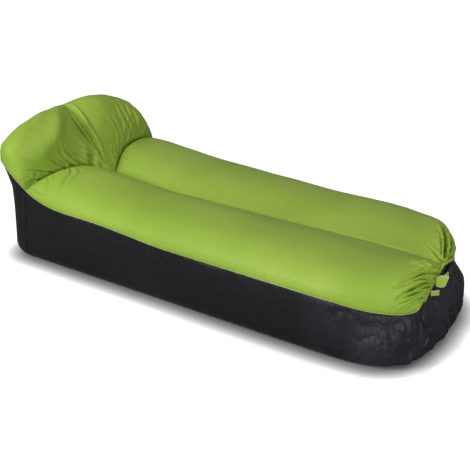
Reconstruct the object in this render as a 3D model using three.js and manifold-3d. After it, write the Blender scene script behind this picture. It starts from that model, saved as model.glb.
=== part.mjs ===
import * as THREE from 'three';
import Module from 'manifold-3d';

const wasm = await Module();
wasm.setup();

// An inflated air lounger: two long air tubes side by side, bent up at the head into a pillow.
// Millimetres, +Z up. X runs across, the mouth at the foot lies towards -Y, the pillow towards +Y.

// Seat tubes
const seatLength = 1700;
const seatHalfWidth = 405;
const seamHeight = 235;
const crownRise = 103;
const headCrownRise = 30;
const valleyDepth = 35;
const valleyDip = 22;
const tubeEndRound = 90;
const tubeEndPuff = 30;
const creaseRound = 60;

// Rolled mouth at the foot
const mouthHalfWidth = 245;
const mouthCornerDrop = 27;
const mouthBow = 12;
const pinchDepth = 47;
const footRoundLength = 335;
const footSeamRoundExtra = 45;
const footBelly = 50;
const rightMouthDraw = 34;
const rightDrawHeight = 130;

// Crease between the seat and the pillow
const sideSeamLift = 22;
const sideCreaseRise = 70;
const sideCreaseInset = 3;
const centreCreaseDraw = 135;
const centreCreaseDepth = 90;
const creaseDip = 12;

// Pillow, from the crease over the top to the back seam
const backSeamDepth = 130;
const backSeamInset = 35;
const backSeamRise = 108;
const backSeamBow = 13;
const backSeamArch = 77;
const pillowSideLean = 25;
const pillowSideRise = 58;
const pillowCentreLean = 150;
const pillowCentreRise = 133;
const pillowFrontBulge = 120;
const pillowFrontBulgeRise = 100;
const pillowTopSetback = 45;
const pillowTopSideRise = 30;
const pillowTopCentreSetback = 23;
const pillowTopCentreRise = 155;
const pillowTopBulgeRise = 108;
const pillowTopCapRise = 53;
const pillowLean = 55;
const rightPillowDraw = 50;
const pillowSideBulge = 20;

// Black lower shell
const sideBelly = 11;
const headBelly = 22;
const bottomRound = 65;

// Fabric and film, thicker than the real ones so that they are solids
const fabricThickness = 2;
const filmThickness = 1.2;
const seamClearance = 0.3;
const filmClearance = 9;
const restClearance = 0.3;
const dividerThickness = 1;

// Rolled mouth band, with a stiffening strip in its bore
const rollRadius = 7;
const rollBoreRadius = 3.6;
const rollStandoff = 9.3;
const leftRollInset = 48;
const rightRollInset = 82;
const stripWidth = 6;
const stripThickness = 1.6;
const stripGap = 12;

// Side-release buckle for 20 mm webbing
const webbingWidth = 20;
const webbingThickness = 1.6;
const webbingSlack = 0.4;
const webbingSideSlack = 1;
const buckleOffset = 26;
const buckleDrop = 31;
const buckleStandoff = 31;
const buckleDepth = 10;
const buckleEarWidth = 4;
const buckleWall = 2;
const barRadius = 2;
const barToEdge = 3.5;
const barToBody = 5.5;
const socketBodyLength = 22;
const socketBackWall = 2;
const windowLength = 12;
const windowSetback = 6;
const plugGap = 0.5;
const plugPlateLength = 6;
const stemLength = 18;
const stemWidth = 6;
const runningClearance = 0.5;
const prongReach = 4.5;
const prongRootRadius = 1.7;
const prongLength = 15.5;
const prongHeadLength = 9;
const prongNose = 4;

// Webbing straps from the rolled mouth to the buckle
const strapRootShare = 0.35102;
const strapRootX = mouthHalfWidth * strapRootShare;
const strapOverlap = 12;

// Pull tab, a folded loop of the green fabric, and the free tail of the strap under it
const tabRootShare = 0.42449;
const tabRootX = mouthHalfWidth * tabRootShare;
const tabRaise = 2;
const tabLength = 50;
const tabTaperShare = 0.3;
const tabWidth = 44;
const tabGap = 16;
const tabThickness = 1.8;
const tabSeamLength = 7;
const tabAngle = THREE.MathUtils.degToRad(-50);
const tailRootShare = 0.61224;
const tailRootX = mouthHalfWidth * tailRootShare;
const tailDrop = 9;
const tailLength = 31;
const tailThickness = 1.8;
const tailHemLength = 9;
const tailHemThickness = 3.4;
const tailAngle = THREE.MathUtils.degToRad(-44);
const cutOverrun = 2;

// Shares of the seat length at which a shape sets in or fades out, and other shares
const footSkewShare = 0.19;
const footSkewEndShare = 0.344;
const cornerDropEndShare = 0.168;
const cornerFitEndShare = 0.06;
const creaseFitStartShare = 0.9;
const seamLiftStartShare = 0.55;
const seamLiftEndShare = 0.8;
const valleyDipStartShare = 0.15;
const valleyDipEndShare = 0.8;
const seamRiseStartShare = 0.84;
const headCrownStartShare = 0.72;
const headCrownEndShare = 0.96;
const pinchReachShare = 0.059;
const creaseReachShare = 0.118;
const pillowLeanStartShare = 0.903;
const mitreLimitShare = 0.4;
const bevelShare = 2.1;
const acrossEasingShare = 0.6;
const alongEasingShare = 0.5;
const pillowEasingShare = 0.2;

// Exponents of the rounded outlines
const lobeExponent = 2.3;
const valleyExponent = 2.3;
const endExponent = 2.2;
const footPlanExponent = 3;
const headPlanExponent = 2.9;
const seamPlanExponent = 2.6;
const pillowLobeExponent = 2.7;
const pillowValleyExponent = 2;
const pillowCapExponent = 5;
const pillowSideExponent = 1.2;
const seamRiseExponent = 3;
const creaseBowExponent = 2.5;
const backSeamExponent = 0.45;
const wallExponent = 0.6;

// How many steps each surface is divided into
const acrossSteps = 10;
const alongSteps = 20;
const pillowSteps = 9;
const wallSteps = 4;
const roundSteps = 4;
const filmAcrossSteps = 6;
const filmAlongSteps = 10;
const filmPillowSteps = 5;
const filmWallSteps = 3;
const filmRoundSteps = 2;
const rollSteps = 24;
const stripSteps = 12;
const curveSteps = 6;
const loopSteps = 12;

const green = 0x8bb341;
const black = 0x1c1c1f;
const webbingBlack = 0x202024;
const filmGrey = 0xb9bec2;
const buckleBlack = 0x151517;
const stripWhite = 0xdadcd8;

const mouthY = -seatLength / 2;
const sideCreaseY = seatLength / 2;
const crownHeight = seamHeight + crownRise;

const pinch = new THREE.Vector3(0, mouthY, crownHeight - pinchDepth);
const sideCrease = new THREE.Vector3(
  -seatHalfWidth + sideCreaseInset,
  sideCreaseY,
  seamHeight + sideCreaseRise
);
const centreCrease = new THREE.Vector3(
  0,
  sideCreaseY - centreCreaseDraw,
  crownHeight + headCrownRise - centreCreaseDepth
);
const backSeamSide = new THREE.Vector3(
  -seatHalfWidth + backSeamInset,
  sideCreaseY + backSeamDepth,
  sideCrease.z + backSeamRise
);
const backSeamCentre = new THREE.Vector3(
  0,
  backSeamSide.y + backSeamBow,
  backSeamSide.z + backSeamArch
);

// Points inside a seat tube and inside a pillow lobe, used to tell which way is out
const tubeCore = new THREE.Vector3(-seatHalfWidth / 2, 0, seamHeight / 2);
const pillowCore = new THREE.Vector3(
  -seatHalfWidth / 2,
  (sideCrease.y + backSeamCentre.y) / 2,
  (sideCrease.z + backSeamCentre.z) / 2
);

function ease(from, to, value) {
  const t = THREE.MathUtils.clamp((value - from) / (to - from), 0, 1);
  return t * t * (3 - 2 * t);
}

function bump(share, exponent) {
  return (1 - Math.abs(2 * share - 1) ** exponent) ** (1 / exponent);
}

// Height across a tube: full and round over the side seam, falling gently to the valley
function lobeAcross(share, roundExponent, softExponent) {
  return share < 0.5 ? bump(share, roundExponent) : 1 - (2 * share - 1) ** softExponent;
}

function roundedRise(share, exponent) {
  const t = THREE.MathUtils.clamp(share, 0, 1);
  return (1 - (1 - t) ** exponent) ** (1 / exponent);
}

function shares(count, easing) {
  return Array.from({ length: count + 1 }, (_, i) => {
    const t = i / count;
    return t * (1 - easing) + (easing * (1 - Math.cos(t * Math.PI))) / 2;
  });
}

// The foot end is skewed in plan and the pillow leans a little to one side
function warp(point) {
  const along = (point.y - mouthY) / seatLength;
  const skew = footSkewShare * ease(footSkewEndShare, 0, along);
  const raised = THREE.MathUtils.clamp((point.z - sideCrease.z) / (backSeamCentre.z - sideCrease.z), 0, 1);
  const atPillow = raised * ease(pillowLeanStartShare, 1, along);
  const right = Math.max(point.x, 0);
  const nearSeam = ease(rightDrawHeight, seamHeight - mouthCornerDrop, point.z);
  const draw = rightMouthDraw * (right / mouthHalfWidth) ** 2 * ease(footSkewEndShare, 0, along) * nearSeam;
  const x = point.x - (pillowLean + rightPillowDraw * (right / seatHalfWidth)) * atPillow;
  return new THREE.Vector3(x, point.y + skew * point.x + draw, point.z);
}

// Seam between the green top and the black side, from the mouth corner (0) to the crease (1)
function sideSeam(along) {
  const fromCorner = (footRoundLength - along * seatLength) / (footRoundLength + footSeamRoundExtra);
  const t = THREE.MathUtils.clamp(fromCorner, 0, 1);
  const half = seatHalfWidth * (1 - t ** seamPlanExponent) ** (1 / endExponent);
  const cornerFit = (mouthHalfWidth - seatHalfWidth * mouthShare()) * ease(cornerFitEndShare, 0, along);
  const creaseFit = sideCreaseInset * ease(creaseFitStartShare, 1, along);
  const lift = sideSeamLift * ease(seamLiftStartShare, seamLiftEndShare, along);
  const nearCrease = Math.max(0, (along - seamRiseStartShare) / (1 - seamRiseStartShare));
  const rise = lift + (sideCreaseRise - sideSeamLift) * nearCrease ** seamRiseExponent;
  const drop = mouthCornerDrop * ease(cornerDropEndShare, 0, along);
  return new THREE.Vector3(
    -(half + cornerFit - creaseFit),
    mouthY + along * seatLength,
    seamHeight + rise - drop
  );
}

function mouthShare() {
  const t = footRoundLength / (footRoundLength + footSeamRoundExtra);
  return (1 - t ** seamPlanExponent) ** (1 / endExponent);
}

// Seam between the two tubes, from the pinch (0) to the crease (1)
function valleySeam(along) {
  const y = THREE.MathUtils.lerp(pinch.y, centreCrease.y, along);
  const level = crownHeight - valleyDepth - valleyDip * ease(valleyDipStartShare, valleyDipEndShare, along);
  const towardsPinch = Math.exp(-((along / pinchReachShare) ** 2));
  const towardsCrease = Math.exp(-(((1 - along) / creaseReachShare) ** 2));
  const z = level + (pinch.z - level) * towardsPinch + (centreCrease.z - level) * towardsCrease;
  return new THREE.Vector3(0, y, z);
}

// Top of one seat tube: across runs from the side seam (0) to the valley (1)
function seatPoint(across, along) {
  const seam = sideSeam(along);
  const point = seam.clone().lerp(valleySeam(along), across);
  const lobe = lobeAcross(across, lobeExponent, valleyExponent);
  const creaseY = THREE.MathUtils.lerp(sideCrease.y, centreCrease.y, across ** creaseBowExponent);
  point.y += (creaseY - THREE.MathUtils.lerp(sideCrease.y, centreCrease.y, across)) * along;
  const fromMouth = (point.y - mouthY) / tubeEndRound;
  const fromCrease = (creaseY - point.y) / creaseRound;
  const mouthRise = roundedRise(fromMouth, endExponent);
  const creaseRise = roundedRise(fromCrease, endExponent);
  const crown = crownHeight + headCrownRise * ease(headCrownStartShare, headCrownEndShare, along);
  const height = (crown - point.z) * lobe * mouthRise * creaseRise;
  const nearCrease = 1 - THREE.MathUtils.clamp(fromCrease, 0, 1);
  const nearMouth = 1 - THREE.MathUtils.clamp(fromMouth, 0, 1);
  const dip = creaseDip * Math.sin(across * Math.PI) ** 2;
  const bow = mouthBow * Math.sin(across * Math.PI);
  point.z += height - dip * nearCrease + bow * nearMouth;
  point.y -= tubeEndPuff * lobe * Math.sin(mouthRise * Math.PI);
  return point;
}

// One pillow lobe: up runs from the crease (0) over the top to the back seam (1)
function pillowPoint(across, up) {
  const lobe = lobeAcross(across, pillowLobeExponent, pillowValleyExponent);
  const inward = across ** pillowSideExponent;
  const start = seatPoint(across, 1);
  const sideX = sideCrease.x - pillowSideBulge;
  const front = new THREE.Vector3(sideX, sideCrease.y + pillowSideLean, sideCrease.z + pillowSideRise);
  front.lerp(
    new THREE.Vector3(0, centreCrease.y + pillowCentreLean, centreCrease.z + pillowCentreRise),
    inward
  );
  front.add(new THREE.Vector3(0, -pillowFrontBulge * lobe, pillowFrontBulgeRise * lobe));
  const topSideZ = backSeamSide.z + pillowTopSideRise;
  const topCentreZ = backSeamCentre.z + pillowTopCentreRise;
  const top = new THREE.Vector3(sideX, backSeamSide.y - pillowTopSetback, topSideZ);
  top.lerp(new THREE.Vector3(0, backSeamCentre.y - pillowTopCentreSetback, topCentreZ), inward);
  top.z = THREE.MathUtils.lerp(topSideZ, topCentreZ, across ** backSeamExponent) + pillowTopBulgeRise * lobe;
  top.z += pillowTopCapRise * across ** pillowCapExponent;
  const end = backSeamSide.clone().lerp(backSeamCentre, across);
  end.z = THREE.MathUtils.lerp(backSeamSide.z, backSeamCentre.z, across ** backSeamExponent);
  return new THREE.CubicBezierCurve3(start, front, top, end).getPoint(up);
}

// Where the black shell stands furthest out in plan, below a point of its upper edge
function shellOutline(rim) {
  const halfWidth = seatHalfWidth + sideBelly;
  const footCentreY = mouthY + footRoundLength;
  if (rim.y > footCentreY && rim.y <= sideCreaseY) {
    return { x: -halfWidth, y: rim.y, inX: 1, inY: 0 };
  }
  const atFoot = rim.y <= footCentreY;
  const centreY = atFoot ? footCentreY : sideCreaseY;
  const halfLength = atFoot ? footRoundLength + footBelly : backSeamDepth + headBelly;
  const power = atFoot ? footPlanExponent : headPlanExponent;
  const dx = Math.abs(rim.x);
  const dy = Math.abs(rim.y - centreY);
  const reach = 1 / ((dx / halfWidth) ** power + (dy / halfLength) ** power) ** (1 / power);
  const sign = atFoot ? -1 : 1;
  const gradient = new THREE.Vector2(
    ((dx * reach) / halfWidth) ** (power - 1) / halfWidth,
    ((dy * reach) / halfLength) ** (power - 1) / halfLength
  ).normalize();
  return { x: -dx * reach, y: centreY + sign * dy * reach, inX: gradient.x, inY: -sign * gradient.y };
}

// The black shell from its upper edge down to the ground, as a column of points
function wallColumn(rim, straightCount, roundCount) {
  const out = shellOutline(rim);
  const column = [];
  for (let i = 0; i <= straightCount; i += 1) {
    const t = i / straightCount;
    const outShare = Math.sin((t * Math.PI) / 2) ** wallExponent;
    column.push(
      new THREE.Vector3(
        THREE.MathUtils.lerp(rim.x, out.x, outShare),
        THREE.MathUtils.lerp(rim.y, out.y, outShare),
        THREE.MathUtils.lerp(rim.z, bottomRound, t)
      )
    );
  }
  for (let i = 1; i <= roundCount; i += 1) {
    const angle = ((i / roundCount) * Math.PI) / 2;
    const inward = bottomRound * (1 - Math.cos(angle));
    column.push(
      new THREE.Vector3(
        out.x + out.inX * inward,
        out.y + out.inY * inward,
        i === roundCount ? 0 : bottomRound * (1 - Math.sin(angle))
      )
    );
  }
  return column;
}

function faceNormal(face) {
  const [a, b, c] = face;
  return b.clone().sub(a).cross(c.clone().sub(a));
}

// Turns faces over where, taken together, they face the core instead of away from it
function facingOut(faces, core) {
  let outward = 0;
  for (const face of faces) {
    const middle = face[0].clone().add(face[1]).add(face[2]).divideScalar(3);
    outward += faceNormal(face).dot(middle.sub(core));
  }
  return outward < 0 ? faces.map(([a, b, c]) => [a, c, b]) : faces;
}

function patchFaces(rows, core) {
  const faces = [];
  for (let i = 0; i < rows.length - 1; i += 1) {
    for (let j = 0; j < rows[i].length - 1; j += 1) {
      const [a, b, c, d] = [rows[i][j], rows[i][j + 1], rows[i + 1][j + 1], rows[i + 1][j]];
      faces.push([a, b, c], [a, c, d]);
    }
  }
  return facingOut(faces, core);
}

// A flat or hollow face spread from one hub point to each edge of its outline
function fanFaces(outline, hub, core) {
  const faces = outline.map((point, index) => [hub, point, outline[(index + 1) % outline.length]]);
  return facingOut(faces, core);
}

function mirrored(faces) {
  const flip = (point) => new THREE.Vector3(-point.x, point.y, point.z);
  return faces.map(([a, b, c]) => [flip(a), flip(c), flip(b)]);
}

// Shared vertices, triangles, mitred normals, open edges and the way in from those edges
function indexed(faces) {
  const keys = new Map();
  const points = [];
  const triangles = [];
  for (const face of faces) {
    const triangle = face.map((point) => {
      const key = point.toArray().map((value) => Math.round(value * 1000)).join();
      if (!keys.has(key)) {
        keys.set(key, points.length);
        points.push(point.clone());
      }
      return keys.get(key);
    });
    if (new Set(triangle).size === 3) triangles.push(triangle);
  }
  const flatNormals = triangles.map((triangle) => faceNormal(triangle.map((i) => points[i])).normalize());
  const normals = points.map(() => new THREE.Vector3());
  triangles.forEach((triangle, number) => {
    triangle.forEach((index, corner) => {
      const toNext = points[triangle[(corner + 1) % 3]].clone().sub(points[index]);
      const toLast = points[triangle[(corner + 2) % 3]].clone().sub(points[index]);
      normals[index].addScaledVector(flatNormals[number], toNext.angleTo(toLast));
    });
  });
  normals.forEach((normal) => normal.normalize());
  const spread = points.map(() => 1);
  triangles.forEach((triangle, number) => {
    for (const index of triangle) {
      spread[index] = Math.min(spread[index], normals[index].dot(flatNormals[number]));
    }
  });
  const mitres = normals.map((normal, i) => normal.clone().divideScalar(Math.max(spread[i], mitreLimitShare)));
  const edges = new Set();
  for (const triangle of triangles) {
    triangle.forEach((index, corner) => edges.add(`${index} ${triangle[(corner + 1) % 3]}`));
  }
  const openEdges = [...edges]
    .map((edge) => edge.split(' ').map(Number))
    .filter(([from, to]) => !edges.has(`${to} ${from}`));
  const inward = waysIn(points, triangles, normals, new Set(openEdges.flat()));
  return { points, triangles, mitres, openEdges, inward };
}

function waysIn(points, triangles, normals, open) {
  const inward = points.map(() => new THREE.Vector3());
  for (const triangle of triangles) {
    const middle = new THREE.Vector3();
    triangle.forEach((index) => middle.addScaledVector(points[index], 1 / 3));
    for (const index of triangle) {
      if (open.has(index)) inward[index].add(middle.clone().sub(points[index]).normalize());
    }
  }
  return inward.map((direction, index) => direction.projectOnPlane(normals[index]).normalize());
}

// Draws the open edge of a sheet back from the seam line
function trimmed(sheet, clearance) {
  const points = sheet.points.map((point, index) => {
    return point.clone().addScaledVector(sheet.inward[index], clearance);
  });
  return { ...sheet, points };
}

function geometryOf(points, triangles) {
  const geometry = new THREE.BufferGeometry();
  geometry.setAttribute('position', new THREE.Float32BufferAttribute(points.flatMap((p) => p.toArray()), 3));
  geometry.setIndex(triangles.flat());
  return geometry;
}

// A sheet between two depths below its surface, closed with a bevel along its open edges
function thickened(sheet, outerDepth, innerDepth, place) {
  const count = sheet.points.length;
  const layer = (depth) =>
    sheet.points.map((point, index) => {
      const sunk = point.clone().addScaledVector(sheet.mitres[index], -depth);
      return sunk.addScaledVector(sheet.inward[index], depth * bevelShare);
    });
  const points = [...layer(outerDepth), ...layer(innerDepth)].map(place);
  const triangles = [...sheet.triangles];
  for (const [a, b, c] of sheet.triangles) triangles.push([a + count, c + count, b + count]);
  for (const [from, to] of sheet.openEdges) {
    triangles.push([to, from, from + count], [to, from + count, to + count]);
  }
  return geometryOf(points, triangles);
}

// A fabric panel that keeps to its side of the centre plane: -1 left, 1 right, 0 both
function panel(faces, side) {
  const place = (point) => {
    if (side !== 0) point.x = side * Math.max(side * point.x, dividerThickness / 2 + seamClearance);
    return warp(point);
  };
  return thickened(trimmed(indexed(faces), seamClearance), 0, fabricThickness, place);
}

const lounger = new THREE.Group();

function add(name, geometry, color, roughness, parent = lounger) {
  const material = new THREE.MeshStandardMaterial({ color, roughness, metalness: 0 });
  const mesh = new THREE.Mesh(geometry, material);
  mesh.name = name;
  parent.add(mesh);
  return mesh;
}

// Upper edges of the black shell, on the left half
const acrossShares = shares(acrossSteps, acrossEasingShare);
const alongShares = shares(alongSteps, alongEasingShare);
const pillowShares = shares(pillowSteps, pillowEasingShare);

function mouthRim(line) {
  return line.map((share) => seatPoint(share, 0)).reverse();
}

function sideRim(line) {
  return line.map((share) => sideSeam(share));
}

function headRim(upLine, backLine) {
  const up = upLine.map((share) => pillowPoint(0, share));
  const back = backLine.slice(1).map((share) => pillowPoint(share, 1));
  return [...up, ...back];
}

// Green top: a seat panel and a pillow panel for each tube
const seatFaces = patchFaces(
  alongShares.map((along) => acrossShares.map((across) => seatPoint(across, along))),
  tubeCore
);
const pillowFaces = patchFaces(
  pillowShares.map((up) => acrossShares.map((across) => pillowPoint(across, up))),
  pillowCore
);
add('left_seat_panel', panel(seatFaces, -1), green, 0.45);
add('right_seat_panel', panel(mirrored(seatFaces), 1), green, 0.45);
add('left_pillow_panel', panel(pillowFaces, -1), green, 0.45);
add('right_pillow_panel', panel(mirrored(pillowFaces), 1), green, 0.45);

// Black shell: the end at the foot, the end at the head, and the sides with the bottom
const columns = (rim) => rim.map((point) => wallColumn(point, wallSteps, roundSteps));
const footColumns = columns(mouthRim(acrossShares));
const sideColumns = columns(sideRim(alongShares));
const headColumns = columns(headRim(pillowShares, acrossShares));
const footFaces = patchFaces(footColumns, tubeCore);
const sideFaces = patchFaces(sideColumns, tubeCore);
const headFaces = patchFaces(headColumns, tubeCore);
const groundLine = [...footColumns, ...sideColumns.slice(1), ...headColumns.slice(1)].map((column) => column.at(-1));
const otherSide = groundLine
  .slice(1, -1)
  .reverse()
  .map((point) => new THREE.Vector3(-point.x, point.y, point.z));
const bottomFaces = fanFaces([...groundLine, ...otherSide], new THREE.Vector3(), tubeCore);
add('base_panel', panel([...sideFaces, ...mirrored(sideFaces), ...bottomFaces], 0), black, 0.7);
add('foot_end_panel', panel([...footFaces, ...mirrored(footFaces)], 0), black, 0.7);
add('head_end_panel', panel([...headFaces, ...mirrored(headFaces)], 0), black, 0.7);

// Outline of the lounger on its centre plane
function centreOutline(alongLine, upLine, footColumn, headColumn) {
  const valley = alongLine.map((share) => valleySeam(share));
  const pillow = upLine.slice(1).map((share) => pillowPoint(1, share));
  const back = headColumn.slice(1);
  const foot = footColumn.slice(1).reverse();
  return [...valley, ...pillow, ...back, ...foot];
}

const centreHub = new THREE.Vector3(0, centreCrease.y + pillowCentreLean, seamHeight / 2);

// Fabric wall between the tubes, sewn in under the valley seam
const centreLine = centreOutline(alongShares, pillowShares, footColumns[0], headColumns.at(-1));
const dividerLine = centreLine.map((point, index) => {
  const before = point.clone().sub(centreLine.at(index - 1)).normalize();
  const after = centreLine[(index + 1) % centreLine.length].clone().sub(point).normalize();
  const along = before.clone().add(after).normalize();
  const inset = (fabricThickness + seamClearance) / Math.max(along.dot(after), mitreLimitShare);
  return new THREE.Vector3(-dividerThickness / 2, point.y + along.z * inset, point.z - along.y * inset);
});
const dividerHub = centreHub.clone().setX(-dividerThickness / 2);
const dividerSheet = indexed(fanFaces(dividerLine, dividerHub, new THREE.Vector3()));
add('centre_divider', thickened(dividerSheet, 0, dividerThickness, warp), black, 0.7);

// Film bladder of one tube: one bag through the seat and the pillow, open at the rolled mouth
function bladderFaces() {
  const across = shares(filmAcrossSteps, acrossEasingShare);
  const along = shares(filmAlongSteps, alongEasingShare);
  const up = shares(filmPillowSteps, pillowEasingShare);
  const column = (point) => wallColumn(point, filmWallSteps, filmRoundSteps);
  const foot = mouthRim(across).map(column);
  const side = sideRim(along).map(column);
  const head = headRim(up, across).map(column);
  const ground = [...foot, ...side.slice(1), ...head.slice(1)].map((points) => points.at(-1));
  return [
    ...patchFaces(along.map((v) => across.map((u) => seatPoint(u, v))), tubeCore),
    ...patchFaces(up.map((v) => across.map((u) => pillowPoint(u, v))), pillowCore),
    ...patchFaces(foot.map((points) => points.slice(1)), tubeCore),
    ...patchFaces(side, tubeCore),
    ...patchFaces(head, tubeCore),
    ...fanFaces(ground, new THREE.Vector3(tubeCore.x, 0, 0), tubeCore),
    ...fanFaces(centreOutline(along, up, foot[0], head.at(-1)), centreHub, tubeCore),
  ];
}

const film = bladderFaces();
for (const [name, faces] of [['left_air_bladder', film], ['right_air_bladder', mirrored(film)]]) {
  const skin = thickened(indexed(faces), filmClearance, filmClearance + filmThickness, warp);
  const bladder = add(name, skin, filmGrey, 0.3);
  bladder.position.z = fabricThickness + restClearance - filmClearance;
}

// The mouth, rolled up into a band that follows the mouth line over the pinch
function mouthPoint(x) {
  const line = seatPoint(1 - Math.abs(x) / mouthHalfWidth, 0);
  return warp(new THREE.Vector3(x, line.y - rollStandoff, line.z));
}

function alongMouth(shape, from, to, steps) {
  const points = [];
  for (let i = 0; i <= steps; i += 1) points.push(mouthPoint(THREE.MathUtils.lerp(from, to, i / steps)));
  const extrudePath = new THREE.CatmullRomCurve3(points);
  return new THREE.ExtrudeGeometry(shape, { steps, curveSegments: curveSteps, bevelEnabled: false, extrudePath });
}

function rectangle(width, height) {
  const outline = [[-0.5, -0.5], [0.5, -0.5], [0.5, 0.5], [-0.5, 0.5]];
  return new THREE.Shape(outline.map(([x, y]) => new THREE.Vector2(x * width, y * height)));
}

const rollSection = new THREE.Shape().absarc(0, 0, rollRadius, 0, Math.PI * 2, false);
rollSection.holes.push(new THREE.Path().absarc(0, 0, rollBoreRadius, 0, Math.PI * 2, true));
const leftRollX = leftRollInset - mouthHalfWidth;
const rightRollX = mouthHalfWidth - rightRollInset;
const stripSection = rectangle(stripWidth, stripThickness);
add('mouth_roll', alongMouth(rollSection, leftRollX, rightRollX, rollSteps), green, 0.5);
add('left_mouth_strip', alongMouth(stripSection, leftRollX, -stripGap, stripSteps), stripWhite, 0.5);
add('right_mouth_strip', alongMouth(stripSection, stripGap, rightRollX, stripSteps), stripWhite, 0.5);

// Booleans on closed geometries
function trianglesOf(geometry) {
  const flat = geometry.index ? geometry.toNonIndexed() : geometry;
  const position = flat.getAttribute('position');
  const faces = [];
  for (let i = 0; i < position.count; i += 3) {
    faces.push([0, 1, 2].map((corner) => new THREE.Vector3().fromBufferAttribute(position, i + corner)));
  }
  return faces;
}

function solid(geometry) {
  const { points, triangles } = indexed(trianglesOf(geometry));
  const mesh = new wasm.Mesh({
    numProp: 3,
    vertProperties: new Float32Array(points.flatMap((point) => point.toArray())),
    triVerts: new Uint32Array(triangles.flat()),
  });
  return new wasm.Manifold(mesh);
}

function geometryFrom(manifold) {
  const mesh = manifold.getMesh();
  const geometry = new THREE.BufferGeometry();
  geometry.setAttribute('position', new THREE.Float32BufferAttribute(mesh.vertProperties, 3));
  geometry.setIndex(Array.from(mesh.triVerts));
  return geometry;
}

// A box between two places along X, centred on the other two axes
function boxBetween(fromX, toX, depth, width) {
  return solid(new THREE.BoxGeometry(toX - fromX, depth, width).translate((fromX + toX) / 2, 0, 0));
}

function barAt(x, width) {
  const bar = new THREE.CylinderGeometry(barRadius, barRadius, width, loopSteps);
  return solid(bar.rotateX(Math.PI / 2).translate(x, 0, 0));
}

// Buckle, lying across the foot under the pinch: X along the webbing, -Y towards the outside
const closure = new THREE.Group();
const closurePlace = new THREE.Vector3(buckleOffset, mouthY - buckleStandoff, pinch.z - buckleDrop);
closure.position.copy(warp(closurePlace));
closure.rotation.z = Math.atan(footSkewShare);
lounger.add(closure);
closure.updateMatrixWorld(true);

const slotWidth = webbingWidth + 2 * webbingSideSlack;
const buckleWidth = slotWidth + 2 * buckleEarWidth;
const cavityDepth = buckleDepth - 2 * buckleWall;
const cavityWidth = buckleWidth - 2 * buckleWall;
const earLength = barToBody + barToEdge;

// Socket: its mouth at X zero, the webbing bar at its far end
const socketEnd = -socketBodyLength - earLength;
const socketBar = -socketBodyLength - barToBody;
const windowEnd = -windowSetback - windowLength;
const socket = boxBetween(socketEnd, 0, buckleDepth, buckleWidth)
  .subtract(boxBetween(socketBackWall - socketBodyLength, cutOverrun, cavityDepth, cavityWidth))
  .subtract(boxBetween(windowEnd, -windowSetback, cavityDepth, buckleWidth + cutOverrun))
  .subtract(boxBetween(socketEnd - cutOverrun, -socketBodyLength, buckleDepth + cutOverrun, slotWidth))
  .add(barAt(socketBar, slotWidth + buckleEarWidth));
add('buckle_socket', geometryFrom(socket), buckleBlack, 0.35, closure);

// Plug: a plate with the webbing bar, and a stem that guides it in the socket
const plateEnd = plugGap + plugPlateLength;
const plugBar = plateEnd + barToBody;
const plug = boxBetween(plugGap, plateEnd + earLength, buckleDepth, buckleWidth)
  .subtract(boxBetween(plateEnd, plateEnd + earLength + cutOverrun, buckleDepth + cutOverrun, slotWidth))
  .add(barAt(plugBar, slotWidth + buckleEarWidth))
  .add(boxBetween(-stemLength, plateEnd, cavityDepth - 2 * runningClearance, stemWidth));
add('buckle_plug', geometryFrom(plug), buckleBlack, 0.35, closure);

// Prongs: squeezed through the socket's side windows to let the plug go
const prongPivotZ = cavityWidth / 2 - runningClearance - prongReach;

function prongShape() {
  const shape = new THREE.Shape();
  shape.absarc(0, 0, prongRootRadius, -Math.PI / 2, Math.PI / 2, false);
  shape.lineTo(prongHeadLength - prongLength, prongRootRadius);
  shape.lineTo(prongHeadLength - prongLength, prongReach);
  shape.lineTo(prongNose - prongLength, prongReach);
  shape.lineTo(-prongLength, prongRootRadius);
  shape.lineTo(-prongLength, -prongRootRadius);
  shape.closePath();
  return shape;
}

const prongDepth = cavityDepth - 2 * runningClearance;
const prongPivotX = plugGap - restClearance - prongRootRadius;
for (const [name, side] of [['upper_buckle_prong', 1], ['lower_buckle_prong', -1]]) {
  const geometry = new THREE.ExtrudeGeometry(prongShape(), {
    depth: prongDepth,
    bevelEnabled: false,
    curveSegments: curveSteps,
  });
  const prong = add(name, geometry.translate(0, 0, -prongDepth / 2), buckleBlack, 0.35, closure);
  prong.position.set(prongPivotX, 0, side * prongPivotZ);
  prong.rotation.x = (side * Math.PI) / 2;
}

// A strap sewn to the outside of the rolled mouth and looped round a buckle bar
function strapShape(barX, rootX) {
  const root = closure.worldToLocal(mouthPoint(rootX));
  const rootY = root.y - rollRadius - restClearance;
  const outward = Math.sign(root.x - barX);
  const loopRadius = barRadius + webbingSlack + webbingThickness;
  const overlapX = barX + outward * (loopRadius + strapOverlap);
  const start = Math.asin(webbingThickness / loopRadius);
  const outline = [];
  for (let i = 0; i <= loopSteps; i += 1) {
    const angle = THREE.MathUtils.lerp(start, 2 * Math.PI - start, i / loopSteps);
    outline.push([barX + outward * loopRadius * Math.cos(angle), loopRadius * Math.sin(angle)]);
  }
  outline.push([overlapX, -webbingThickness], [root.x, rootY - webbingThickness], [root.x, rootY]);
  outline.push([overlapX, 0], [overlapX, webbingThickness]);
  if (outward < 0) outline.reverse();
  const shape = new THREE.Shape(outline.map(([x, y]) => new THREE.Vector2(x, y)));
  shape.holes.push(new THREE.Path().absarc(barX, 0, barRadius + webbingSlack, 0, Math.PI * 2, true));
  return shape;
}

function upright(shape, width) {
  const geometry = new THREE.ExtrudeGeometry(shape, { depth: width, bevelEnabled: false, curveSegments: curveSteps });
  return geometry.translate(0, 0, -width / 2);
}

add('left_closure_strap', upright(strapShape(socketBar, -strapRootX), webbingWidth), green, 0.6, closure);
add('right_closure_strap', upright(strapShape(plugBar, strapRootX), webbingWidth), webbingBlack, 0.6, closure);

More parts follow.
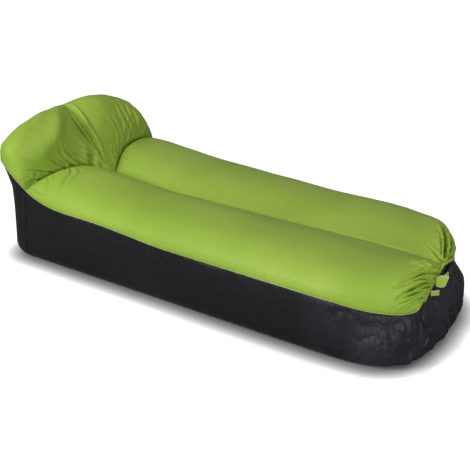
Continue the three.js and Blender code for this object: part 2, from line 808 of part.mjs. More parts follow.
// A place against the outside of the rolled mouth for a root of the given radius
function againstRoll(x, radius, raise) {
  const place = mouthPoint(x);
  const outward = new THREE.Vector3(0, -1, 0).applyEuler(closure.rotation);
  return place.addScaledVector(outward, rollRadius + restClearance + radius).setZ(place.z + raise);
}

function tabShape() {
  const endRadius = tabGap / 2 + tabThickness;
  const endX = tabLength - endRadius;
  const shape = new THREE.Shape();
  shape.absarc(endX, 0, endRadius, -Math.PI / 2, Math.PI / 2, false);
  shape.absarc(0, 0, tabThickness, Math.PI / 2, (3 * Math.PI) / 2, false);
  const gap = new THREE.Path();
  gap.moveTo(tabSeamLength, 0);
  gap.lineTo(endX, tabGap / 2);
  gap.absarc(endX, 0, tabGap / 2, Math.PI / 2, -Math.PI / 2, true);
  shape.holes.push(gap);
  return shape;
}

const tabGeometry = upright(tabShape(), tabWidth);
const tabCorners = tabGeometry.getAttribute('position');
for (let i = 0; i < tabCorners.count; i += 1) {
  const drop = tabTaperShare * (0.5 - tabCorners.getZ(i) / tabWidth);
  tabCorners.setX(i, tabCorners.getX(i) * (1 - drop));
}
const pullTab = add('pull_tab', tabGeometry, green, 0.5);
pullTab.position.copy(againstRoll(-tabRootX, tabThickness, tabRaise));
pullTab.rotation.z = tabAngle;

function tailShape() {
  const half = tailThickness / 2;
  const hemX = tailLength - tailHemLength;
  const shape = new THREE.Shape();
  shape.absarc(0, 0, half, Math.PI / 2, (3 * Math.PI) / 2, false);
  shape.lineTo(tailLength, -half);
  shape.lineTo(tailLength, tailHemThickness - half);
  shape.lineTo(hemX, tailHemThickness - half);
  shape.lineTo(hemX, half);
  return shape;
}

const strapTail = add('strap_tail', upright(tailShape(), webbingWidth), green, 0.6);
strapTail.position.copy(againstRoll(-tailRootX, tailThickness / 2, -tailDrop));
strapTail.rotation.z = tailAngle;

// The origin is the middle of the footprint, on the ground
const extent = new THREE.Box3().setFromObject(lounger);
lounger.position.x = -(extent.min.x + extent.max.x) / 2;
lounger.position.y = -(extent.min.y + extent.max.y) / 2;

export default lounger;
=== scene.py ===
import math

import bmesh
import bpy
import numpy as np
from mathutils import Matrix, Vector


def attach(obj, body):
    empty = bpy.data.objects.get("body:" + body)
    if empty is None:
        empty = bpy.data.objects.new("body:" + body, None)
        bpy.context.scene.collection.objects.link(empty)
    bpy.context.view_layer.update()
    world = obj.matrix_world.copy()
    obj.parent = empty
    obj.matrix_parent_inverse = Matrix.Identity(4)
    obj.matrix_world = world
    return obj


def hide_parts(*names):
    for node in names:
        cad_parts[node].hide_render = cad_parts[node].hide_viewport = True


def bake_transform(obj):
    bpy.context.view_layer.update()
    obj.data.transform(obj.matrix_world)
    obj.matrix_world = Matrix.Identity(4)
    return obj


# all lengths are metres: the foot is at -Y, the head at +Y, and the near side, called left, at -X
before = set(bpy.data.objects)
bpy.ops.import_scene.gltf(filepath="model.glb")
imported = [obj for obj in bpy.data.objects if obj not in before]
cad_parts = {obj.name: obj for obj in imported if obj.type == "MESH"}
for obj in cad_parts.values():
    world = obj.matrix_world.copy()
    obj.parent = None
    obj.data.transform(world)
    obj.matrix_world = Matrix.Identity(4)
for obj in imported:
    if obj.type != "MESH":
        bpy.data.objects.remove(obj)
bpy.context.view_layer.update()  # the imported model: bodies, nodes, joints and record


# Seat tubes. Two long air chambers lie side by side, each with a top cut from coated ripstop nylon.
# The tops are sewn to the black shell along the sides and to each other along the valley, and the
# air draws them into a high crown. They are gathered into the mouth at the foot.
seat_length, seat_half, seam_height, crown_rise = 1.700, 0.405, 0.235, 0.103
head_crown, valley_depth, end_round, end_puff, crease_round = 0.030, 0.035, 0.090, 0.030, 0.060
mouth_half, mouth_corner_drop, mouth_bow, pinch_depth = 0.245, 0.027, 0.012, 0.047
foot_round, foot_seam_round, foot_belly, foot_slant, right_mouth_draw = 0.335, 0.045, 0.050, 0.19, 0.034
seam_lift, crease_rise, crease_inset = 0.022, 0.070, 0.003
crease_draw, crease_depth, crease_dip = 0.135, 0.090, 0.012
bottom_round, side_belly, head_belly, pillow_back = 0.065, 0.011, 0.022, 0.130
mouth_y, crease_y, crown = -seat_length / 2, seat_length / 2, seam_height + crown_rise
pinch = np.array([0, mouth_y, crown - pinch_depth])
side_crease = np.array([-seat_half + crease_inset, crease_y, seam_height + crease_rise])
centre_crease = np.array([0, crease_y - crease_draw, crown + head_crown - crease_depth])
back_side = np.array([-seat_half + 0.035, crease_y + pillow_back, side_crease[2] + 0.108])
back_centre = np.array([0, back_side[1] + 0.013, back_side[2] + 0.077])
to_origin = np.array([0.0152222, -0.0346992, 0])  # the origin is the middle of the footprint, on the ground
tube_core = np.array([-seat_half / 2, 0, seam_height / 2])


def ease(start, end, value):
    t = np.clip((value - start) / (end - start), 0, 1)
    return t * t * (3 - 2 * t)


def bump(share, power):
    return np.clip(1 - np.abs(2 * share - 1) ** power, 0, 1) ** (1 / power)


def lobe_across(share, round_power, valley_power):
    """Height across a tube: full and round over the side seam, falling gently to the valley."""
    return np.where(share < 0.5, bump(share, round_power), 1 - np.abs(2 * share - 1) ** valley_power)


def rounded_rise(share, power):
    return (1 - (1 - np.clip(share, 0, 1)) ** power) ** (1 / power)


def between(a, b, share):
    return a + (b - a) * share


def place(x, y, z):
    return np.stack(np.broadcast_arrays(x, y, z), axis=-1).astype(float)


def lean(p):
    """The whole cover leans: the foot is cut on a slant and the pillow tips to one side."""
    x, y, z = p[..., 0], p[..., 1], p[..., 2]
    along = (y - mouth_y) / seat_length
    at_foot = ease(0.344, 0, along)
    at_pillow = np.clip((z - side_crease[2]) / (back_centre[2] - side_crease[2]), 0, 1) * ease(0.903, 1, along)
    right = np.maximum(x, 0)
    draw = right_mouth_draw * (right / mouth_half) ** 2 * at_foot
    draw = draw * ease(0.130, seam_height - mouth_corner_drop, z)
    x_leaned = x - (0.055 + 0.050 * right / seat_half) * at_pillow
    return place(x_leaned, y + foot_slant * at_foot * x + draw, z) + to_origin


def side_seam(along):
    t = np.clip((foot_round - along * seat_length) / (foot_round + foot_seam_round), 0, 1)
    half = seat_half * (1 - t ** 2.6) ** (1 / 2.2)
    at_mouth = (1 - (foot_round / (foot_round + foot_seam_round)) ** 2.6) ** (1 / 2.2)
    half = half + (mouth_half - seat_half * at_mouth) * ease(0.06, 0, along) - crease_inset * ease(0.9, 1, along)
    to_crease = np.clip((along - 0.84) / 0.16, 0, 1) ** 3
    rise = seam_lift * ease(0.55, 0.8, along) + (crease_rise - seam_lift) * to_crease
    height = seam_height + rise - mouth_corner_drop * ease(0.168, 0, along)
    return place(-half, mouth_y + along * seat_length, height)


def valley_seam(along):
    level = crown - valley_depth - 0.022 * ease(0.15, 0.80, along)
    z = level + (pinch[2] - level) * np.exp(-(along / 0.059) ** 2)
    z = z + (centre_crease[2] - level) * np.exp(-((1 - along) / 0.118) ** 2)
    return place(0, between(pinch[1], centre_crease[1], along), z)


def seat_top(across, along):
    across, along = np.broadcast_arrays(across, along)
    p = between(side_seam(along), valley_seam(along), across[..., None])
    lobe = lobe_across(across, 2.3, 2.3)
    crease = between(side_crease[1], centre_crease[1], across ** 2.5)
    p[..., 1] += (crease - between(side_crease[1], centre_crease[1], across)) * along
    from_mouth, from_crease = (p[..., 1] - mouth_y) / end_round, (crease - p[..., 1]) / crease_round
    mouth_rise = rounded_rise(from_mouth, 2.2)
    top = crown + head_crown * ease(0.72, 0.96, along)
    height = (top - p[..., 2]) * lobe * mouth_rise * rounded_rise(from_crease, 2.2)
    p[..., 2] += height - crease_dip * np.sin(across * math.pi) ** 2 * (1 - np.clip(from_crease, 0, 1))
    p[..., 2] += mouth_bow * np.sin(across * math.pi) * (1 - np.clip(from_mouth, 0, 1))
    p[..., 1] -= end_puff * lobe * np.sin(mouth_rise * math.pi)
    return p


def arc(p, axis):
    """Distance along each line of a grid of points, from its first point."""
    step = np.linalg.norm(np.diff(p, axis=axis), axis=-1)
    return np.concatenate([np.zeros_like(np.take(step, [0], axis)), np.cumsum(step, axis)], axis)


def laid_even(surface, rows, columns, closer_ends):
    """A grid over a surface, its rows closer together at both ends, and the distances across and along it."""
    fine = (1 - np.cos(np.linspace(0, math.pi, 1200))) / 2
    middle = arc(surface(0.5, fine), 0)
    run = np.linspace(0, 1, rows)
    run = (run - closer_ends * np.sin(2 * math.pi * run)) * middle[-1]
    along = np.interp(run, middle, fine)
    fine = fine[::2]
    reach = arc(surface(fine[None, :], along[:, None]), 1)
    across = np.array([np.interp(np.linspace(0, r[-1], columns), r, fine) for r in reach])
    p = surface(across, along[:, None])
    return p, arc(p, 1), np.broadcast_to(run[:, None], across.shape)


def outward(p, core):
    """Unit directions straight out of the cloth, away from a point inside the chamber."""
    n = np.cross(np.gradient(p, axis=1), np.gradient(p, axis=0))
    n /= np.linalg.norm(n, axis=-1, keepdims=True) + 1e-12
    return n if np.sum(n * (p - core)) > 0 else -n


def soft_noise(u, v, size, seed):
    """Smooth uneven heights between -1 and 1, about one rise every two sizes."""
    lattice = np.random.default_rng(seed).uniform(-1, 1, (97, 97))
    a, b = u / size + 31.7, v / size + 17.3
    i, j = np.floor(a).astype(int), np.floor(b).astype(int)
    fa, fb = a - i, b - j
    fa, fb = fa * fa * (3 - 2 * fa), fb * fb * (3 - 2 * fb)
    pick = lambda di, dj: lattice[(i + di) % 97, (j + dj) % 97]
    return between(between(pick(0, 0), pick(1, 0), fa), between(pick(0, 1), pick(1, 1), fa), fb)


def billows(u, v, size, seed):
    """Puffed cells with sharp creases between them, from 0 in a crease to about 1 on a billow."""
    spots = np.random.default_rng(seed).uniform(0.08, 0.92, (89, 89, 2))
    a, b = u / size + 29.0, v / size + 23.0
    a, b = a + 0.35 * soft_noise(u, v, size * 0.8, seed + 1), b + 0.35 * soft_noise(u, v, size * 0.8, seed + 2)
    i, j = np.floor(a).astype(int), np.floor(b).astype(int)
    first, second = np.full(a.shape, 9.0), np.full(a.shape, 9.0)
    for di in (-1, 0, 1):
        for dj in (-1, 0, 1):
            spot = spots[(i + di) % 89, (j + dj) % 89]
            d = np.hypot(i + di + spot[..., 0] - a, j + dj + spot[..., 1] - b)
            second = np.minimum(second, np.maximum(first, d))
            first = np.minimum(first, d)
    return np.clip((second - first) * 1.6, 0, 1) ** 0.6


def gathers(share, count, seed):
    """Fabric drawn up on a thread: round swells with a sharp tuck between each two, mean about zero."""
    t = share * count + 0.5 * soft_noise(share, 0 * share + 0.3, 0.11, seed)
    height = 0.75 + 0.35 * soft_noise(share, 0 * share + 0.7, 0.06, seed + 5)
    return (np.abs(np.sin(math.pi * t)) ** 0.75 - 0.6) * height


def fold(u, v, line, width, depth, swell=0.5, crispness=1.3):
    """A pulled line in the cloth: a tuck along the line with a swell beside it, fading at both ends."""
    line = np.array(line, float)
    t = np.linspace(0, len(line) - 1, 6 * (len(line) - 1) + 1)
    k = np.clip(t.astype(int), 0, len(line) - 2)
    f = (t - k)[:, None]
    a, b = line[np.clip(k - 1, 0, None)], line[k]
    c, d = line[k + 1], line[np.clip(k + 2, None, len(line) - 1)]
    bent = 0.5 * (2 * b + (c - a) * f + (2 * a - 5 * b + 4 * c - d) * f ** 2 + (3 * b - a - 3 * c + d) * f ** 3)
    near, share = np.full(u.shape, 9.0), np.zeros(u.shape)
    length = arc(bent, 0)
    for n in range(len(bent) - 1):
        du, dv = bent[n + 1] - bent[n]
        s = np.clip(((u - bent[n, 0]) * du + (v - bent[n, 1]) * dv) / (du * du + dv * dv + 1e-12), 0, 1)
        dist = np.hypot(u - bent[n, 0] - s * du, v - bent[n, 1] - s * dv)
        closer = dist < near
        near = np.where(closer, dist, near)
        share = np.where(closer, (length[n] + s * (length[n + 1] - length[n])) / length[-1], share)
    fade = np.sin(math.pi * np.clip(share, 0, 1)) ** 0.6
    beside = swell * np.exp(-((near - 1.9 * width) / width) ** 2)
    return fade * depth * (beside - np.exp(-(near / width) ** crispness))


def sheaf(u, v, start, end, spread, count, width, depth, seed):
    """Fine creases side by side from one place to another, spread by one width at the start and one at the end."""
    rng = np.random.default_rng(seed)
    start, end = np.array(start), np.array(end)
    sideways = np.array([start[1] - end[1], end[0] - start[0]]) / np.hypot(*(end - start))
    h = 0
    for n in range(count):
        off = 2 * (n + 0.5 + rng.uniform(-0.4, 0.4)) / count - 1
        first, last = rng.uniform(0, 0.35), rng.uniform(0.6, 1)
        line = [start + (end - start) * t + sideways * (off * between(*spread, t) + rng.normal(0, 0.0035))
                for t in np.linspace(first, last, 4)]
        h = h + fold(u, v, line, width * rng.uniform(0.75, 1.25), depth * rng.uniform(0.5, 1.2))
    return h


def put_in_scene(name, data):
    obj = bpy.data.objects.new(name, data)
    bpy.context.scene.collection.objects.link(obj)
    return obj


def mesh_object(name, points, faces, threads=None, flat_faces=0):
    """A piece from points and faces, smooth but for its last faces, its threads as a UV map in metres."""
    mesh = bpy.data.meshes.new(name)
    mesh.from_pydata(points, [], faces)
    layer = mesh.uv_layers.new(name="threads")
    if threads is not None:
        corners = np.array([corner for face in faces for corner in face])
        layer.data.foreach_set("uv", threads[corners].astype(np.float32).ravel())
    mesh.polygons.foreach_set("use_smooth", [True] * (len(faces) - flat_faces) + [False] * flat_faces)
    return put_in_scene(name, mesh)


def sew(name, patches, core):
    """One cloth piece from grids of points that meet along their edges, facing away from the core."""
    points, corners, threads, count = [], [], [], 0
    for p, run in patches:
        index = np.arange(p.shape[0] * p.shape[1]).reshape(p.shape[:2])
        quads = np.stack([index[:-1, :-1], index[:-1, 1:], index[1:, 1:], index[1:, :-1]], -1).reshape(-1, 4)
        flat = p.reshape(-1, 3)
        first = flat[quads[:, 0]]
        faced = np.cross(flat[quads[:, 1]] - first, flat[quads[:, 3]] - first)
        if np.sum(faced * (first - core)) < 0:
            quads = quads[:, ::-1]
        points.append(flat)
        corners.append(quads + count)
        threads.append(run.reshape(-1, 2))
        count += len(flat)
    faces = np.concatenate(corners).tolist()
    obj = mesh_object(name, np.concatenate(points).tolist(), faces, np.concatenate(threads))
    if len(patches) > 1:
        work = bmesh.new()
        work.from_mesh(obj.data)
        bmesh.ops.remove_doubles(work, verts=work.verts, dist=2e-5)
        work.to_mesh(obj.data)
        work.free()
    obj.data.update()
    return obj


cloth_thickness = 0.0015


def cover(name, patches, core, cloth, node):
    """A cloth panel held out by the air: sewn, given its thickness and finish, and fixed to the shell."""
    piece = sew(name, patches, core)
    layer = piece.modifiers.new("cloth thickness", "SOLIDIFY")
    layer.thickness, layer.offset = cloth_thickness, -1
    piece.data.materials.append(cloth)
    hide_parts(node)
    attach(piece, "shell")


def shade(name):
    material = bpy.data.materials.new(name)
    material.use_nodes = True
    material.node_tree.nodes.clear()
    return material


def colour(code):
    rgb = [int(code[i:i + 2], 16) / 255 for i in (1, 3, 5)]
    return [*(c / 12.92 if c <= 0.04045 else ((c + 0.055) / 1.055) ** 2.4 for c in rgb), 1.0]


def add(material, kind, wires=None, **settings):
    """Adds a node with its own settings. A wire is a value, a socket to link, or a node for its first output."""
    tree = material.node_tree
    made = tree.nodes.new("ShaderNode" + kind)
    for key, value in settings.items():
        setattr(made, key, value)
    for socket, value in (wires or {}).items():
        if isinstance(value, bpy.types.Node):
            value = value.outputs[0]
        if isinstance(value, bpy.types.NodeSocket):
            tree.links.new(value, made.inputs[socket])
        else:
            made.inputs[socket].default_value = value
    return made


# Coated ripstop nylon: plain weave with a thicker thread every 5 mm, rolled with a polyurethane
# coat, so it shows a soft broad gloss, a faint square grid and fine crinkles where it was packed.
def ripstop(name, main, worn, roughness, shine, grid_depth, crinkle, painted_sheen_foot=None):
    m = shade(name)
    threads = add(m, "UVMap", uv_map="threads").outputs["UV"]
    spot = add(m, "TexCoord").outputs["Object"]
    grid = []
    for turn in (0, math.pi / 2):
        turned = add(m, "Mapping", {"Vector": threads, "Rotation": (0, 0, turn)})
        # a thick thread every 5 mm: the wave repeats every 1 / (scale x 3.18) metres
        thick = add(m, "TexWave", {"Vector": turned, "Scale": 62.8}, wave_type="BANDS", bands_direction="X")
        grid.append(add(m, "Math", {0: thick.outputs["Fac"], 1: 14.0}, operation="POWER"))
    ribs = add(m, "Math", {0: grid[0], 1: grid[1]}, operation="MAXIMUM")
    # the plain weave is 0.2 mm a thread; it is drawn at 1.2 mm, or nothing of it would show
    weave = add(m, "TexNoise", {"Vector": threads, "Scale": 820.0, "Detail": 1.0}).outputs["Fac"]
    # packing leaves soft crinkles about 38 mm across, and sharp creases round cells of about 48 mm
    packed = add(m, "TexNoise", {"Vector": spot, "Scale": 26.0, "Detail": 5.0, "Roughness": 0.62,
                                 "Distortion": 0.6}).outputs["Fac"]
    sharp = add(m, "TexVoronoi", {"Vector": spot, "Scale": 21.0, "Detail": 2.0},
                feature="DISTANCE_TO_EDGE").outputs["Distance"]
    sharp = add(m, "MapRange", {"Value": sharp, "From Max": 0.16}, interpolation_type="SMOOTHSTEP")
    broad = add(m, "TexNoise", {"Vector": spot, "Scale": 2.6, "Detail": 3.0}).outputs["Fac"]
    tone = add(m, "MapRange", {"Value": broad, "From Min": 0.35, "From Max": 0.65})
    dyed = add(m, "Mix", {0: tone, 6: colour(main), 7: colour(worn)}, data_type="RGBA").outputs[2]
    if painted_sheen_foot:
        # the foot is painted lighter and greyer: a painted sheen, where the foot catches more light
        along = add(m, "VectorMath", {0: spot, 1: (0.7, 1.0, 0.0)}, operation="DOT_PRODUCT").outputs["Value"]
        painted_sheen_mask = add(m, "Math", {0: along, 1: broad}, operation="SUBTRACT")
        painted_sheen_mask = add(m, "MapRange", {"Value": painted_sheen_mask, "From Min": -1.30, "From Max": -1.62},
                     interpolation_type="SMOOTHSTEP")
        dyed = add(m, "Mix", {0: painted_sheen_mask, 6: dyed, 7: colour(painted_sheen_foot)}, data_type="RGBA").outputs[2]
    ribbed = add(m, "Math", {0: ribs, 1: 0.10}, operation="MULTIPLY")
    dyed = add(m, "Mix", {0: ribbed, 6: dyed, 7: (0.0, 0.0, 0.0, 1.0)}, data_type="RGBA").outputs[2]
    below = {}
    for height, strength, depth in ((ribs, grid_depth, 0.0004), (weave, grid_depth, 0.0002),
                                    (sharp, crinkle * 0.5, 0.0012), (packed, crinkle, 0.0050)):
        bumps = add(m, "Bump", {"Height": height, "Strength": strength, "Distance": depth, **below})
        below = {"Normal": bumps}
    gloss = add(m, "MapRange", {"Value": packed, "To Min": roughness - 0.06, "To Max": roughness + 0.10})
    skin = add(m, "BsdfPrincipled", {"Base Color": dyed, "Roughness": gloss, "Normal": bumps, "IOR": 1.5,
                                     "Specular IOR Level": shine})
    add(m, "OutputMaterial", {"Surface": skin})
    return m


green_nylon = ripstop("green coated ripstop nylon", "#8dab3b", "#99b545", 0.44, 0.20, 0.5, 0.36)

seat, seat_u, seat_v = laid_even(seat_top, 480, 170, 0.095)
seat_out = outward(seat, tube_core)
seat_width, seat_reach = seat_u[:, -1:], seat_v[-1, 0]


def seat_relief(side):
    u, v, seed = seat_u, seat_v, 3 if side < 0 else 40
    share, from_valley, from_crease = u / seat_width, seat_width - u, seat_reach - v
    h = 0.0028 * soft_noise(u, v, 0.21, seed) + 0.0012 * soft_noise(u, v, 0.085, seed + 1)
    # the stitching draws the edges up a little along both long seams
    h += 0.0016 * gathers(v / seat_reach, 46, seed + 2) * np.exp(-u / 0.030)
    h += 0.0030 * gathers(v / seat_reach, 33, seed + 3) * np.exp(-from_valley / 0.045)
    # at the mouth the cloth is gathered into the roll: pleats fan out from it over the tube end
    fan = np.arctan2(u - 0.165, v + 0.035) / math.pi + 0.5
    length = 0.105 + 0.045 * soft_noise(fan, 0 * fan, 0.05, seed + 4)
    h += 0.0070 * gathers(fan, 15, seed + 5) * np.exp(-(v / length) ** 2.2)
    h += 0.0058 * gathers(fan, 36, seed + 6) * np.exp(-(v / 0.065) ** 1.6)
    if side < 0:
        tucks = (([(0.255, 0.020), (0.241, 0.066), (0.283, 0.101), (0.330, 0.130)], 0.006, 0.012),
                 ([(0.235, 0.012), (0.227, 0.062), (0.241, 0.097), (0.253, 0.132), (0.268, 0.165)], 0.006, 0.013),
                 ([(0.215, 0.012), (0.193, 0.058), (0.182, 0.086), (0.149, 0.109), (0.110, 0.150)], 0.006, 0.013),
                 ([(0.190, 0.010), (0.156, 0.051), (0.146, 0.086), (0.122, 0.121), (0.095, 0.165)], 0.006, 0.012),
                 ([(0.165, 0.010), (0.140, 0.052), (0.116, 0.078), (0.084, 0.110), (0.055, 0.145)], 0.006, 0.013),
                 ([(0.130, 0.010), (0.114, 0.051), (0.083, 0.082), (0.062, 0.117), (0.045, 0.150)], 0.006, 0.011),
                 ([(0.102, 0.010), (0.089, 0.051), (0.066, 0.078), (0.048, 0.113), (0.035, 0.140)], 0.005, 0.008),
                 ([(0.075, 0.010), (0.066, 0.047), (0.053, 0.072), (0.036, 0.097)], 0.005, 0.007))
        h += sheaf(u, v, (0.245, 0.012), (0.300, 0.140), (0.008, 0.030), 7, 0.0042, 0.0050, 11)
        h += sheaf(u, v, (0.220, 0.012), (0.190, 0.160), (0.010, 0.045), 11, 0.0042, 0.0066, 12)
        h += sheaf(u, v, (0.150, 0.010), (0.070, 0.155), (0.030, 0.030), 11, 0.0040, 0.0060, 13)
        h += sheaf(u, v, (0.090, 0.010), (0.035, 0.095), (0.020, 0.014), 6, 0.0040, 0.0040, 14)
        h += sheaf(u, v, (0.230, 1.735), (0.140, 1.640), (0.050, 0.040), 6, 0.0050, 0.0014, 15)
        creases = (([(0.240, 1.715), (0.209, 1.670), (0.152, 1.643), (0.108, 1.627), (0.078, 1.620)], 0.007, 0.007),
                   ([(0.245, 1.668), (0.229, 1.643), (0.175, 1.616), (0.121, 1.596)], 0.006, 0.005),
                   ([(0.020, 1.775), (0.031, 1.760), (0.026, 1.713), (0.030, 1.680)], 0.006, 0.006),
                   ([(0.130, 1.735), (0.110, 1.698), (0.077, 1.686), (0.060, 1.655)], 0.006, 0.004))
    else:
        tucks = (([(0.258, 0.010), (0.268, 0.030), (0.291, 0.075), (0.256, 0.100), (0.215, 0.125), (0.170, 0.145)],
                  0.009, 0.020),
                 ([(0.235, 0.010), (0.245, 0.040), (0.235, 0.064), (0.196, 0.078), (0.150, 0.100)], 0.007, 0.011),
                 ([(0.200, 0.010), (0.205, 0.035), (0.170, 0.060), (0.120, 0.085)], 0.006, 0.009),
                 ([(0.285, 0.015), (0.294, 0.043), (0.335, 0.095), (0.348, 0.136), (0.345, 0.170)], 0.006, 0.010),
                 ([(0.300, 0.050), (0.315, 0.085), (0.285, 0.115), (0.235, 0.140)], 0.006, 0.007),
                 ([(0.120, 0.006), (0.105, 0.060), (0.075, 0.110)], 0.007, 0.008))
        # the far tube end is fuller above and tucked in below
        h += 0.013 * np.exp(-((v - 0.160) / 0.080) ** 2 - ((u - 0.120) / 0.110) ** 2)
        h -= 0.016 * np.exp(-((v - 0.050) / 0.052) ** 2 - ((u - 0.160) / 0.120) ** 2)
        h += sheaf(u, v, (0.255, 0.010), (0.230, 0.140), (0.040, 0.075), 14, 0.0045, 0.0070, 16)
        creases = (([(0.330, 1.780), (0.360, 1.730), (0.400, 1.700)], 0.009, 0.006),)
    for line, width, depth in (*tucks, *creases):
        h += fold(u, v, line, width, depth)
    if side < 0:
        # behind the pull tab the pleats are pressed flat, which leaves the tab room to swing
        pressed = np.exp(-((u - 0.182) / 0.026) ** 2 - ((v - 0.024) / 0.020) ** 2)
        h = h * (1 - pressed) - 0.005 * pressed
    # at the crease under the pillow the cloth bunches
    h += 0.0050 * gathers(share, 9, seed + 7) * np.exp(-(from_crease / 0.055) ** 1.4)
    edge = ease(0, 0.010, u) * ease(0, 0.010, from_valley) * ease(0, 0.008, v) * ease(0, 0.010, from_crease)
    return h * edge


for side, name in ((-1, "left"), (1, "right")):
    cloth = seat + seat_out * seat_relief(side)[..., None]
    cloth[..., 0] *= -side
    cover(f"{name}_seat_cover", [(lean(cloth), np.stack([seat_u, seat_v], -1))], lean(tube_core * [-side, 1, 1]),
          green_nylon, f"{name}_seat_panel")


# Pillow. Each tube runs on over a crease into an upright lobe; the air in it makes a head rest.
# One panel a lobe, of the same green cloth, goes from the crease over the top to the back seam.
pillow_core = (side_crease + back_centre) / 2
pillow_core[0] = -seat_half / 2


def pillow_top(across, up):
    across, up = np.broadcast_arrays(across, up)
    lobe, inward, share = lobe_across(across, 2.7, 2.0), (across ** 1.2)[..., None], across[..., None]
    start = seat_top(across, np.ones_like(across))
    side_x = side_crease[0] - 0.020
    front = between(np.array([side_x, side_crease[1] + 0.025, side_crease[2] + 0.058]),
                    np.array([0, centre_crease[1] + 0.150, centre_crease[2] + 0.133]), inward)
    front = front + place(0, -0.120 * lobe, 0.100 * lobe)
    top = between(np.array([side_x, back_side[1] - 0.045, 0]), np.array([0, back_centre[1] - 0.023, 0]), inward)
    top[..., 2] = between(back_side[2] + 0.030, back_centre[2] + 0.155, across ** 0.45)
    top[..., 2] = top[..., 2] + 0.108 * lobe + 0.053 * across ** 5
    end = between(back_side, back_centre, share)
    end[..., 2] = between(back_side[2], back_centre[2], across ** 0.45)
    t = up[..., None]
    return (1 - t) ** 3 * start + 3 * (1 - t) ** 2 * t * front + 3 * (1 - t) * t * t * top + t ** 3 * end


pillow, pillow_u, _ = laid_even(pillow_top, 200, 200, 0.03)
pillow_v = arc(pillow, 0)  # each line up a lobe has its own length
pillow_out = outward(pillow, pillow_core)
pillow_width, pillow_reach = pillow_u[:, -1:], pillow_v[-1:]


def pillow_relief(side):
    u, v, seed = pillow_u, pillow_v, 70 if side < 0 else 90
    share, from_centre, from_back = u / pillow_width, pillow_width - u, pillow_reach - v
    h = 0.0035 * soft_noise(u, v, 0.12, seed) + 0.0016 * soft_noise(u, v, 0.045, seed + 1)
    h += 0.0025 * gathers(v / pillow_reach, 14, seed + 2) * np.exp(-u / 0.040)
    h += 0.0035 * gathers(v / pillow_reach, 12, seed + 3) * np.exp(-from_centre / 0.050)
    h += 0.0060 * gathers(share, 10, seed + 4) * np.exp(-(v / 0.060) ** 1.4)
    h += 0.0040 * gathers(share, 15, seed + 5) * np.exp(-(from_back / 0.050) ** 1.4)
    if side < 0:
        # one broad ridge leans over the near lobe, and short creases run into the seam below it
        h += sheaf(u, v, (0.330, 0.015), (0.310, 0.175), (0.110, 0.075), 14, 0.0050, 0.0060, 21)
        h += sheaf(u, v, (0.030, 0.020), (0.150, 0.095), (0.014, 0.030), 7, 0.0045, 0.0040, 22)
        h += fold(u, v, [(0.470, 0.345), (0.436, 0.312), (0.362, 0.269), (0.288, 0.225), (0.204, 0.190),
                         (0.140, 0.140)], 0.034, -0.019, 0.2, 2)
        h += fold(u, v, [(0.480, 0.330), (0.420, 0.240), (0.365, 0.170), (0.320, 0.100)], 0.034, 0.013, 0.1, 2)
        lines = (([(0.470, 0.250), (0.434, 0.148), (0.385, 0.095), (0.340, 0.040)], 0.011, 0.015),
                 ([(0.325, 0.210), (0.306, 0.178), (0.296, 0.140), (0.310, 0.090), (0.345, 0.040)], 0.008, 0.010),
                 ([(0.268, 0.175), (0.260, 0.120), (0.285, 0.060), (0.320, 0.018)], 0.007, 0.009),
                 ([(0.190, 0.160), (0.216, 0.110), (0.250, 0.050), (0.280, 0.015)], 0.006, 0.007),
                 ([(0.080, 0.112), (0.136, 0.090), (0.175, 0.070), (0.215, 0.030)], 0.006, 0.008),
                 ([(0.030, 0.040), (0.050, 0.050), (0.085, 0.052), (0.130, 0.030)], 0.006, 0.006),
                 ([(0.400, 0.130), (0.395, 0.085), (0.400, 0.030)], 0.006, 0.007),
                 ([(0.440, 0.100), (0.432, 0.060), (0.440, 0.020)], 0.006, 0.006))
    else:
        # a deep fold falls from the top beside the middle seam, and fine pleats run down the far side
        h += sheaf(u, v, (0.215, 0.018), (0.140, 0.275), (0.055, 0.050), 13, 0.0050, 0.0078, 23)
        h += sheaf(u, v, (0.400, 0.015), (0.400, 0.140), (0.080, 0.050), 8, 0.0046, 0.0036, 24)
        h += 0.018 * np.exp(-((u - 0.080) / 0.070) ** 2 - ((v - 0.200) / 0.080) ** 2)
        h += fold(u, v, [(0.490, 0.370), (0.482, 0.300), (0.462, 0.215), (0.450, 0.130), (0.465, 0.050)],
                  0.010, 0.014, 0.8)
        lines = (([(0.225, 0.300), (0.217, 0.254), (0.215, 0.197), (0.234, 0.138), (0.275, 0.050)], 0.007, 0.010),
                 ([(0.178, 0.270), (0.188, 0.205), (0.210, 0.150), (0.232, 0.080), (0.255, 0.025)], 0.006, 0.007),
                 ([(0.130, 0.260), (0.150, 0.211), (0.190, 0.155), (0.213, 0.089), (0.235, 0.025)], 0.006, 0.009),
                 ([(0.110, 0.210), (0.130, 0.176), (0.158, 0.120), (0.185, 0.070), (0.215, 0.018)], 0.006, 0.009),
                 ([(0.080, 0.140), (0.100, 0.103), (0.135, 0.060), (0.175, 0.015)], 0.006, 0.008),
                 ([(0.300, 0.240), (0.285, 0.160), (0.300, 0.080), (0.330, 0.020)], 0.008, 0.006),
                 ([(0.350, 0.110), (0.355, 0.070), (0.375, 0.020)], 0.006, 0.007))
    for line, width, depth in lines:
        h += fold(u, v, line, width, depth)
    edge = ease(0, 0.010, u) * ease(0, 0.010, from_centre) * ease(0, 0.010, v) * ease(0, 0.010, from_back)
    return h * edge


for side, name in ((-1, "left"), (1, "right")):
    cloth = pillow + pillow_out * pillow_relief(side)[..., None]
    cloth[..., 0] *= -side
    cover(f"{name}_pillow_cover", [(lean(cloth), np.stack([pillow_u, pillow_v], -1))],
          lean(pillow_core * [-side, 1, 1]), green_nylon, f"{name}_pillow_panel")


# Black shell. The sides and the bottom are one panel, and the foot end and the head end one each.
# All are cut from black coated polyester, drawn round at the ground by the air, and loose at the foot.
# its last colour, #2d2c33, is a painted sheen laid lighter over the foot of the shell
black_polyester = ripstop("black coated ripstop polyester", "#101013", "#17171b", 0.42, 0.24, 0.4, 0.50, "#2d2c33")


